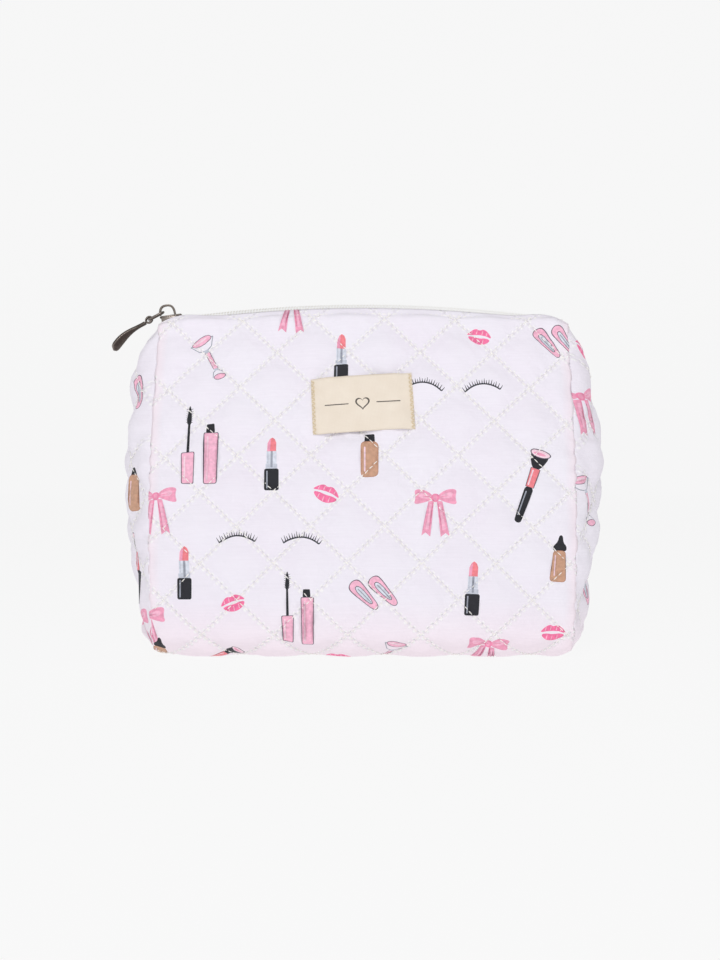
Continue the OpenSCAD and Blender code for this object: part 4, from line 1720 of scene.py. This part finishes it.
@dataclass
class Lining:
    """Lining of the panel and the gussets, and the binding over the side seams."""

    form: BagForm
    cloth: Material
    tape: Material
    step: float = 4.0
    inset: float = 3.9
    thickness: float = 0.5

    def build(self) -> None:
        """Builds the lining and the bindings."""
        form = self.form
        for side in Side:
            lining = self._panel(side)
            bend_with_mouth(lining, side, form)
            names = [f"{side.word}_lining"] + (["base_lining"] if side is Side.FRONT else [])
            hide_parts(*names)
        for end in End:
            lining = self._gusset(end)
            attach(lining, "shell")
            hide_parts(f"{end.word}_gusset_lining")
            binding = self._binding(end)
            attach(binding, "shell")
            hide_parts(f"{end.word}_seam_binding")
        LOG.info("lining and bindings")

    def _panel(self, side: Side) -> Object:
        """One half of the panel's lining.

        Args:
            side: Front or back.

        Returns:
            The piece.
        """
        form = self.form

        def place(s: Array, t: Array, inner: Array) -> Array:
            """Folds the flat shares into the bag."""
            u, v = (2 * s - 1) * (form.half_w - 3.5), side.value * t * (form.length - 2.5)
            crease = 0.35 * np.sin(u / 9 + np.sin(v / 17)) * np.sin(v / 21)
            points, _ = lifted(form.panel_base, u, v, -self.inset - np.abs(crease) - inner * self.thickness)
            points[:, 2] = np.maximum(points[:, 2], self.inset + inner * self.thickness)
            return points

        bm = slab(int(2 * form.half_w / self.step), int(form.length / self.step), place)
        return finish_mesh(f"{side.word}_lining_cloth", bm, self.cloth)

    def _gusset(self, end: End) -> Object:
        """One gusset's lining.

        Args:
            end: Left or right.

        Returns:
            The piece.
        """
        form = self.form

        def place(s: Array, t: Array, inner: Array) -> Array:
            """Folds the flat shares into the bag."""
            b = form.gusset_low + 3 + t * (form.gusset_top - form.gusset_low - 5)
            a = np.sin((s - 0.5) * math.pi) * np.maximum(form.gusset_half(b) - 3.6, 2.0)
            points = form.gusset_base(a, b, end)
            points[:, 0] -= end.value * (self.inset + 0.2 + inner * self.thickness)
            return points

        return finish_mesh(f"{end.word}_gusset_lining_cloth", slab(20, 40, place), self.cloth)

    def _binding(self, end: End) -> Object:
        """Folded tape that covers the raw edges of one side seam, inside the bag.

        Args:
            end: Left or right.

        Returns:
            The tape.
        """
        form, width, thick = self.form, 7.0, 1.1
        reach = form.length - 14

        def place(s: Array, t: Array) -> Array:
            """Folds the flat shares into the bag."""
            v = (2 * t - 1) * reach
            turn = s * 2 * math.pi
            u = end.value * (form.half_w - 8.5 - width / 2 * np.cos(turn))
            lift = -self.inset - 1.2 - thick / 2 + thick / 2 * np.sin(turn) + 0.12 * np.sin(v / 3)
            points, _ = lifted(form.panel_base, u, v, lift)
            return points

        bm = bmesh.new()
        bmesh.ops.create_grid(bm, x_segments=10, y_segments=150, size=0.5)
        flat = np.array([v.co for v in bm.verts])[:, :2] + 0.5
        for vert, point in zip(bm.verts, place(flat[:, 0], flat[:, 1])):
            vert.co = point
        bmesh.ops.remove_doubles(bm, verts=bm.verts, dist=0.001)
        bmesh.ops.holes_fill(bm, edges=[e for e in bm.edges if e.is_boundary])
        bmesh.ops.recalc_face_normals(bm, faces=bm.faces)
        return finish_mesh(f"{end.word}_binding_tape", bm, self.tape)


# ---- zip


@dataclass
class CoilZip:
    """Number 5 nylon coil zip on an arch: two tapes, two coils and their sewing."""

    form: BagForm
    tape: Material
    nylon: Material
    thread: Material
    pitch: float = 1.5
    wire: float = 0.66
    loop_y: float = 3.3
    loop_z: float = 2.3
    first_x: float = -94.0
    last_x: float = 103.5
    lean: float = 0.38
    overlap: float = 0.35
    sewing_y: float = 3.9
    sewing_pitch: float = 2.1

    def build(self) -> None:
        """Builds tapes, coils and sewing for both sides."""
        for side in Side:
            tape = self._tape(side)
            bend_with_mouth(tape, side, self.form)
            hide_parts(f"{side.word}_zip_tape")
            coil = self._coil(side)
            bend_with_mouth(coil, side, self.form)
            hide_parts(f"{side.word}_zip_coil")
            sewing = self._sewing(side)
            bend_with_mouth(sewing, side, self.form)
        LOG.info("zip: %d turns a side", int((self.last_x - self.first_x) / self.pitch))

    def _tape(self, side: Side) -> Object:
        """One tape: a strip that runs from the coil in under the hem.

        Args:
            side: Front or back.

        Returns:
            The tape.
        """
        form = self.form
        path = np.array([(0.7, -0.3), (5.2, -0.5), (7.4, -3.4), (10.4, -7.2)])
        length = np.concatenate([[0], np.cumsum(np.hypot(*np.diff(path, axis=0).T))])

        def place(s: Array, t: Array, inner: Array) -> Array:
            """Folds the flat shares into the bag."""
            x = (2 * s - 1) * (form.half_w + 0.3)
            meet = 0.55 * (1 - smooth_step((form.half_w - np.abs(x)) / 6)) * (1 - t) ** 4
            reach = np.interp(t * length[-1], length, path[:, 0]) - meet
            points = form.arch_point(x, -side.value * reach, 0.0)
            sag = np.interp(t * length[-1], length, path[:, 1]) + 0.12 * np.sin(x / 4.1)
            points[:, 2] += sag - inner * 0.5 - 1.0 * (1 - smooth_step((form.half_w - np.abs(x)) / 5))
            return points

        bm = slab(140, 9, place)
        obj = finish_mesh(f"{side.word}_woven_tape", bm, self.tape)
        return obj

    def _coil(self, side: Side) -> Object:
        """One coil: its turns, each a flattened ring that leans along the zip.

        Args:
            side: Front or back.

        Returns:
            The coil.
        """
        form = self.form
        ring = bmesh.new()
        bmesh.ops.create_circle(ring, segments=5, radius=self.wire / 2)
        move_shape(ring, (0, 1.0, 0))
        bmesh.ops.rotate(ring, verts=ring.verts, matrix=Matrix.Rotation(math.pi / 2, 3, "Y"), cent=(0, 1.0, 0))
        bmesh.ops.spin(
            ring, geom=ring.verts[:] + ring.edges[:], cent=(0, 0, 0), axis=(1, 0, 0), angle=2 * math.pi, steps=9,
            use_merge=True
        )
        for vert in ring.verts:
            radius = math.hypot(vert.co.y, vert.co.z)
            angle = math.atan2(vert.co.z, vert.co.y)
            off = radius - 1.0
            vert.co.y = (self.loop_y / 2 - self.wire / 2 + off) * math.cos(angle)
            vert.co.z = (self.loop_z / 2 - self.wire / 2 + off) * math.sin(angle)
            vert.co.x += self.lean * math.sin(angle)
        shift = 0 if side is Side.FRONT else self.pitch / 2
        x = np.arange(self.first_x + shift, self.last_x, self.pitch)
        y = np.full_like(x, -side.value * (self.loop_y / 2 - self.overlap))
        points = form.arch_point(x, y, self.loop_z / 2)
        along = form.arch_point(x + 0.5, y, 1.0) - form.arch_point(x - 0.5, y, 1.0)
        up = np.cross(along, np.tile([0.0, 1.0, 0.0], (len(x), 1)))
        return scatter(f"{side.word}_nylon_coil", ring, frames_along(points, along, up), self.nylon)

    def _sewing(self, side: Side) -> Object:
        """The row of stitches that holds a coil to its tape.

        Args:
            side: Front or back.

        Returns:
            The stitches.
        """
        form = self.form
        x = np.arange(self.first_x, self.last_x, self.sewing_pitch)
        y = np.full_like(x, -side.value * self.sewing_y)
        points = form.arch_point(x, y, -0.2)
        along = form.arch_point(x + 0.5, y, 0.0) - form.arch_point(x - 0.5, y, 0.0)
        up = np.cross(along, np.tile([0.0, 1.0, 0.0], (len(x), 1)))
        return scatter(f"{side.word}_zip_sewing", stitch_shape(1.7, 0.5), frames_along(points, along, up), self.thread)


@dataclass
class SliderAndPull:
    """Cast slider with its bridge, a wire link and a drop-shaped pull tab."""

    frame: dict
    metal: Material
    pull_length: float = 24.5
    tip_width: float = 6.4
    neck_width: float = 2.2
    blade_t: float = 1.4
    askew: float = 32.0
    wire: float = 1.15

    def __post_init__(self) -> None:
        """Finds the slider's own axes from its joints."""
        joints = {j["name"]: Vector(j["pos_m"]) / MM for j in self.frame["joints"]}
        low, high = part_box("slider_body")
        self.middle = (low + high) / 2 / MM
        self.arch = joints["zip_travel"]
        self.pivot = joints["link_swing"]
        self.far = joints["tab_swing"]
        self.tilt = math.atan2(self.middle.x - self.arch.x, self.middle.z - self.arch.z)

    def build(self) -> None:
        """Builds slider, bridge, link and tab."""
        for piece, body, node in (
            (self._slider(), "slider", "slider_body"),
            (self._bridge(), "slider", "slider_bridge"),
            (self._link(), "link", "pull_link"),
            (self._tab(), "pull", "pull_tab"),
        ):
            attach(piece, body)
            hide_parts(node)
        LOG.info("slider and pull")

    def _at_slider(self, bm: BMesh) -> None:
        """Moves a shape from the slider's own axes to its place on the arch."""
        turn_shape(bm, self.tilt, "Y")
        move_shape(bm, self.middle)

    def _plate(self, bm: BMesh, z: float, thick: float) -> None:
        """Adds one of the slider's plates: broad shoulders and a narrow tail.

        Args:
            bm: Shape that is changed.
            z: Height of its underside.
            thick: Thickness.
        """
        half, tail, nose = 4.1, 2.9, 5.7
        outline = [
            (-nose, -1.7), (-nose + 1.5, -half), (0.6, -half), (nose, -tail), (nose, tail), (0.6, half),
            (-nose + 1.5, half), (-nose, 1.7)
        ]
        face = bm.faces.new([bm.verts.new((x, y, z)) for x, y in outline])
        up = bmesh.ops.extrude_face_region(bm, geom=[face])
        bmesh.ops.translate(bm, verts=[g for g in up["geom"] if isinstance(g, BMVert)], vec=(0, 0, thick))

    def _slider(self) -> Object:
        """Body: two plates, the side walls between them and the wedge that parts the coils."""
        bm = bmesh.new()
        half_h = 2.95
        self._plate(bm, half_h - 1.1, 1.1)
        self._plate(bm, -half_h, 1.0)
        for side in (-1, 1):
            bmesh.ops.create_cube(
                bm, size=1.0,
                matrix=Matrix.Translation((-0.6, side * 3.75, 0.9)) @ Matrix.Diagonal((8.0, 0.7, 2.6, 1.0))
            )
        bmesh.ops.create_cube(
            bm, size=1.0, matrix=Matrix.Translation((-4.2, 0, 0)) @ Matrix.Diagonal((1.9, 1.5, 5.0, 1.0))
        )
        bmesh.ops.recalc_face_normals(bm, faces=bm.faces)
        soften(bm, 0.5, 0.3, 2)
        self._at_slider(bm)
        return finish_mesh("zip_slider", bm, self.metal)

    def _bridge(self) -> Object:
        """Bridge: a flat strap that arches over the link's bar."""
        low, high = (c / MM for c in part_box("slider_bridge"))
        middle = (low + high) / 2
        bm = bmesh.new()
        bmesh.ops.create_grid(bm, x_segments=1, y_segments=1, size=0.5)
        bmesh.ops.scale(bm, vec=(1.0, 2.2, 1), verts=bm.verts)
        move_shape(bm, (1.0, 0, 0))
        bmesh.ops.spin(bm, geom=bm.faces[:], cent=(0, 0, 0), axis=(0, -1, 0), angle=math.pi, steps=18)
        for vert in bm.verts:
            radius, angle = math.hypot(vert.co.x, vert.co.z), math.atan2(vert.co.z, vert.co.x)
            off = (radius - 1.0) * 1.05
            lean = math.copysign(abs(math.cos(angle)) ** 0.75, math.cos(angle))
            vert.co.x = (3.85 + off) * lean
            vert.co.z = (5.0 + off) * max(math.sin(angle), 0) ** 0.8
        bmesh.ops.recalc_face_normals(bm, faces=bm.faces)
        soften(bm, 0.9, 0.22, 2)
        turn_shape(bm, self.tilt, "Y")
        top = max(v.co.z for v in bm.verts)
        move_shape(bm, (middle.x, 0, high.z - top))
        return finish_mesh("slider_strap", bm, self.metal)

    def _ring(self, length: float, half_w: float, wire: float) -> BMesh:
        """A ring of round wire, drawn out along X between its two ends.

        Args:
            length: Straight length between its bends.
            half_w: Radius of the bends.
            wire: Thickness of the wire.

        Returns:
            The ring.
        """
        bm = bmesh.new()
        bmesh.ops.create_circle(bm, segments=10, radius=wire / 2)
        turn_shape(bm, math.pi / 2, "X")
        move_shape(bm, (half_w, 0, 0))
        bmesh.ops.spin(
            bm, geom=bm.verts[:] + bm.edges[:], cent=(0, 0, 0), axis=(0, 0, 1), angle=2 * math.pi, steps=28,
            use_merge=True
        )
        for vert in bm.verts:
            vert.co.x += length / 2 * math.tanh(vert.co.x * 3)
        bmesh.ops.recalc_face_normals(bm, faces=bm.faces)
        return bm

    def _along_pull(self, bm: BMesh, start: Vector, droop: float) -> None:
        """Turns a shape drawn along +X to point left and down, from a start point.

        Args:
            bm: Shape that is changed.
            start: Point that its own origin moves to.
            droop: Angle below level, in radians.
        """
        turn_shape(bm, math.pi, "Z")
        turn_shape(bm, -droop, "Y")
        move_shape(bm, start)

    @property
    def link_droop(self) -> float:
        """How far the link hangs below level."""
        return math.atan2(self.pivot.z - self.far.z, self.pivot.x - self.far.x)

    def _link(self) -> Object:
        """Link: a drawn-out wire ring from the bridge to the tab."""
        reach = (self.far - self.pivot).length
        half = 2.3
        bm = self._ring(reach - 2 * half, half, self.wire)
        move_shape(bm, (reach / 2, 0, 0))
        self._along_pull(bm, self.pivot, self.link_droop)
        return finish_mesh("wire_link", bm, self.metal)

    def _tab(self) -> Object:
        """Tab: a round eye, a thin neck and a blade that swells to a drop."""
        bm = bmesh.new()
        bmesh.ops.create_grid(bm, x_segments=26, y_segments=6, size=0.5)
        start = 2.3
        for vert in bm.verts:
            t, s = vert.co.x + 0.5, vert.co.y * 2
            swell = smooth_step(np.array((t - 0.12) / 0.68)).item()
            width = self.neck_width + (self.tip_width - self.neck_width) * swell
            end = math.sqrt(max(0.0, 1 - max(0.0, (t - 0.86) / 0.14) ** 2))
            vert.co = Vector((start + t * (self.pull_length - start), s * width / 2 * end, 0))
        bmesh.ops.remove_doubles(bm, verts=bm.verts, dist=0.02)
        thicken(bm, self.blade_t)
        move_shape(bm, (0, 0, self.blade_t / 2 - max(v.co.z for v in bm.verts)))
        soften(bm, 0.9, 0.42, 3)
        for vert in bm.verts:
            t = (vert.co.x - start) / (self.pull_length - start)
            vert.co.z += 2.1 * math.sin(math.pi * min(max(t, 0), 1)) ** 1.2 + 0.25 * (vert.co.y / 3) ** 2
        eye = self._ring(0.01, 1.75, 1.1)
        turn_shape(eye, math.pi / 2, "X")
        bmesh.ops.scale(eye, vec=(1, 1.5, 1), verts=eye.verts)
        joined = bpy.data.meshes.new("eye")
        eye.to_mesh(joined)
        eye.free()
        bm.from_mesh(joined)
        bpy.data.meshes.remove(joined)
        turn_shape(bm, math.radians(self.askew), "X")
        self._along_pull(bm, self.far, self.link_droop + math.radians(12))
        return finish_mesh("drop_pull", bm, self.metal)


# ---- label


@dataclass
class WovenLabelPiece:
    """Cream woven label on the front: sewn down along its two short sides."""

    form: BagForm
    shell: QuiltedShell
    woven: Material
    thread: Material
    width: float = 51.0
    height: float = 29.6
    middle_z: float = 127.3
    turn: float = 3.4
    thickness: float = 0.5
    step: float = 1.2

    def build(self) -> None:
        """Builds the label and its stitching."""
        label = self._label()
        bend_with_mouth(label, Side.FRONT, self.form)
        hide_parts("label")
        stitching = self._stitching()
        bend_with_mouth(stitching, Side.FRONT, self.form)
        LOG.info("label")

    def _on_cloth(self, p: Array, q: Array) -> tuple[Array, Array]:
        """Where a place on the label is on the panel's flat cloth."""
        c, s = math.cos(math.radians(self.turn)), math.sin(math.radians(self.turn))
        return p * c - q * s, self.form.v_at_height(self.middle_z) + p * s + q * c

    def _lift(self, p: Array, q: Array) -> Array:
        """Height of the label over the panel: it touches at its short sides and bridges
        the pillows between them.

        Args:
            p: Places along the label.
            q: Places up the label.

        Returns:
            Heights in millimetres.
        """
        u, v = self._on_cloth(p, q)
        cloth = self.shell.panel_lift(u, v)
        ends = smooth_step((self.width / 2 - np.abs(p)) / 9)
        bridge = 0.75 + 0.12 * np.sin(p / 7) + 0.1 * np.sin(q / 6 + p / 15)
        return (1 - ends) * (cloth + 0.25) + ends * np.maximum(bridge, cloth + 0.2) + 0.25

    def _surface(self, p: Array, q: Array, extra: float = 0.0) -> tuple[Array, Array]:
        """Points and normals of the label."""
        u, v = self._on_cloth(p, q)
        return lifted(self.form.panel_base, u, v, self._lift(p, q) + extra)

    def _motif(self) -> list[Patch]:
        """A plain heart between two thin lines."""
        a = np.linspace(0, 2 * math.pi, 44, endpoint=False)
        heart = np.stack(
            [16 * np.sin(a) ** 3, 13 * np.cos(a) - 5 * np.cos(2 * a) - 2 * np.cos(3 * a) - np.cos(4 * a)], axis=1
        )
        ink, ground = linear("#5C5650"), linear("#EFE4D6", 0.0)
        lines = [bar(0, -6, 6, 0.55, Ink.LINE, 0.2).placed(x, 0, 90, 1.0) for x in (-13.0, 13.0)]
        return [
            Patch(heart * 0.23, ink), Patch(heart * 0.175 + [0, 0.05], ground),
            *[Patch(line.outline, ink) for line in lines],
        ]

    def _label(self) -> Object:
        """The woven cloth, as a thin slab laid on the panel."""
        w, h = self.width / 2, self.height / 2
        ps, qs = np.linspace(-w, w, int(2 * w / self.step)), np.linspace(-h, h, int(2 * h / self.step))
        grid = np.stack(np.meshgrid(ps[1:-1], qs[1:-1]), axis=-1).reshape(-1, 2)
        border = even_border([(-w, -h), (w, -h), (w, h), (-w, h)], self.shell.step)
        flat, triangles, colours = FlatCloth(border, grid, self._motif()).cut()
        points, normals = self._surface(flat[:, 0], flat[:, 1])
        bm = bmesh.new()
        uv = bm.loops.layers.uv.new("cloth")
        ink = bm.loops.layers.float_color.new("print")
        verts = [bm.verts.new(p) for p in points.tolist()]
        for corners, colour in zip(triangles.tolist(), colours.tolist()):
            face = bm.faces.new([verts[i] for i in corners])
            for loop, i in zip(face.loops, corners):
                loop[uv].uv = flat[i] * MM
                loop[ink] = colour
        thicken(bm, self.thickness)
        return finish_mesh("woven_label", bm, self.woven)

    def _stitching(self) -> Object:
        """Close zigzag stitches over both short sides."""
        places = []
        q = np.arange(-self.height / 2 + 0.6, self.height / 2 - 0.4, 1.15)
        for side in (-1, 1):
            p = np.full_like(q, side * (self.width / 2 - 0.9))
            points, normals = self._surface(p, q, 0.35)
            slant = 0.45 * np.where(np.arange(len(q)) % 2, 1, -1)
            ahead, _ = self._surface(p + 1, q + slant, 0.35)
            behind, _ = self._surface(p - 1, q - slant, 0.35)
            places.append(frames_along(points, ahead - behind, normals))
        return scatter("label_stitching", stitch_shape(2.1, 0.5), np.vstack(places), self.thread)


# ---- studio


@dataclass
class Studio:
    """Pale paper sweep, soft light and the camera."""

    paper: Material
    target: tuple[float, float, float] = (-1.7, 0.0, 88.5)
    yaw: float = 0.8
    pitch: float = 1.0
    distance: float = 950.0
    lens: float = 68.5

    def build(self) -> None:
        """Sets the stage."""
        self._sweep()
        self._light("key", (-130, -1080, 880), 320, 5.7)
        self._light("fill", (900, -1100, 420), 900, 0.65)
        self._light("top", (0, 100, 1300), 1000, 2.2)
        world = bpy.data.worlds.new("studio")
        world.use_nodes = True
        world.node_tree.nodes["Background"].inputs[0].default_value = (1, 1, 1, 1)
        world.node_tree.nodes["Background"].inputs[1].default_value = 0.3
        scene = bpy.context.scene
        scene.world = world
        scene.view_settings.view_transform = "Standard"
        self._camera()

    def _sweep(self) -> None:
        """Round floor that curves up into a low wall on every side."""
        bm = bmesh.new()
        bend = [(3700 + 800 * math.sin(a), 800 - 800 * math.cos(a)) for a in np.linspace(0, math.pi / 2, 16)]
        line = [bm.verts.new((x, 0, z)) for x, z in [(1.0, 0.0), *bend, (4500, 1900)]]
        edges = [bm.edges.new(pair) for pair in zip(line, line[1:])]
        bmesh.ops.spin(
            bm, geom=line + edges, cent=(0, 0, 0), axis=(0, 0, 1), angle=2 * math.pi, steps=72, use_merge=True
        )
        bmesh.ops.holes_fill(bm, edges=[e for e in bm.edges if e.is_boundary and e.verts[0].co.z < 1], sides=0)
        bmesh.ops.recalc_face_normals(bm, faces=bm.faces)
        finish_mesh("paper_sweep", bm, self.paper)

    def _light(self, name: str, place: tuple[float, float, float], size: float, power: float) -> None:
        """Adds a large soft light that looks at the bag.

        Args:
            name: Name of the light.
            place: Where it stands.
            size: Its width.
            power: Its power, in watts.
        """
        data = bpy.data.lights.new(name, "AREA")
        data.energy = power
        data.size = size * MM
        light = bpy.data.objects.new(name, data)
        light.location = Vector(place) * MM
        light.rotation_euler = (Vector(self.target) * MM - light.location).to_track_quat("-Z", "Y").to_euler()
        bpy.context.scene.collection.objects.link(light)

    def _camera(self) -> None:
        """Puts the camera level with the bag's middle, a little to its right."""
        data = bpy.data.cameras.new("camera")
        data.lens = self.lens
        camera = bpy.data.objects.new("camera", data)
        yaw, pitch = math.radians(self.yaw), math.radians(self.pitch)
        aim = Vector(self.target)
        offset = Vector((math.sin(yaw) * math.cos(pitch), -math.cos(yaw) * math.cos(pitch), math.sin(pitch)))
        camera.location = (aim + offset * self.distance) * MM
        camera.rotation_euler = (-offset).to_track_quat("-Z", "Y").to_euler()
        bpy.context.scene.collection.objects.link(camera)
        bpy.context.scene.camera = camera


def main() -> None:
    """Builds the bag round its frame, from the camera to the label."""
    logging.basicConfig(level=logging.INFO, format="%(name)s: %(message)s")
    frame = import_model()
    Studio(PaperSweep("background paper").material()).build()
    form = BagForm.from_frame(frame)
    quilting = Quilting()
    quilting.settle()
    thread = SpunThread("spun polyester thread").material()
    cotton = PrintedCotton(
        "printed cotton", pitch=quilting.pitch, cross_u=quilting.cross_u, cross_v=quilting.cross_v,
        stitch=quilting.stitch_pitch
    ).material()
    shell = QuiltedShell(form, quilting, cotton, thread)
    shell.build()
    tape = WovenTape("woven zip tape").material()
    lining = WovenTape("lining poplin", colour="#F2E9EC", dark="#E2D6DC", rib=1.0, weft=1.3).material()
    binding = WovenTape("bias binding", colour="#F5DCE6", dark="#E9C9D7", rib=0.9).material()
    Lining(form, lining, binding).build()
    CoilZip(
        form, tape, NylonCoil("nylon coil").material(), SpunThread("zip sewing thread", colour="#EFE9DD").material()
    ).build()
    SliderAndPull(frame, GunmetalPlate("gunmetal plate").material()).build()
    label_thread = SpunThread("label thread", colour="#EBDCBC", dark="#D8C49C").material()
    WovenLabelPiece(form, shell, WovenLabel("woven label").material(), label_thread).build()


if __name__ == "__main__":
    main()
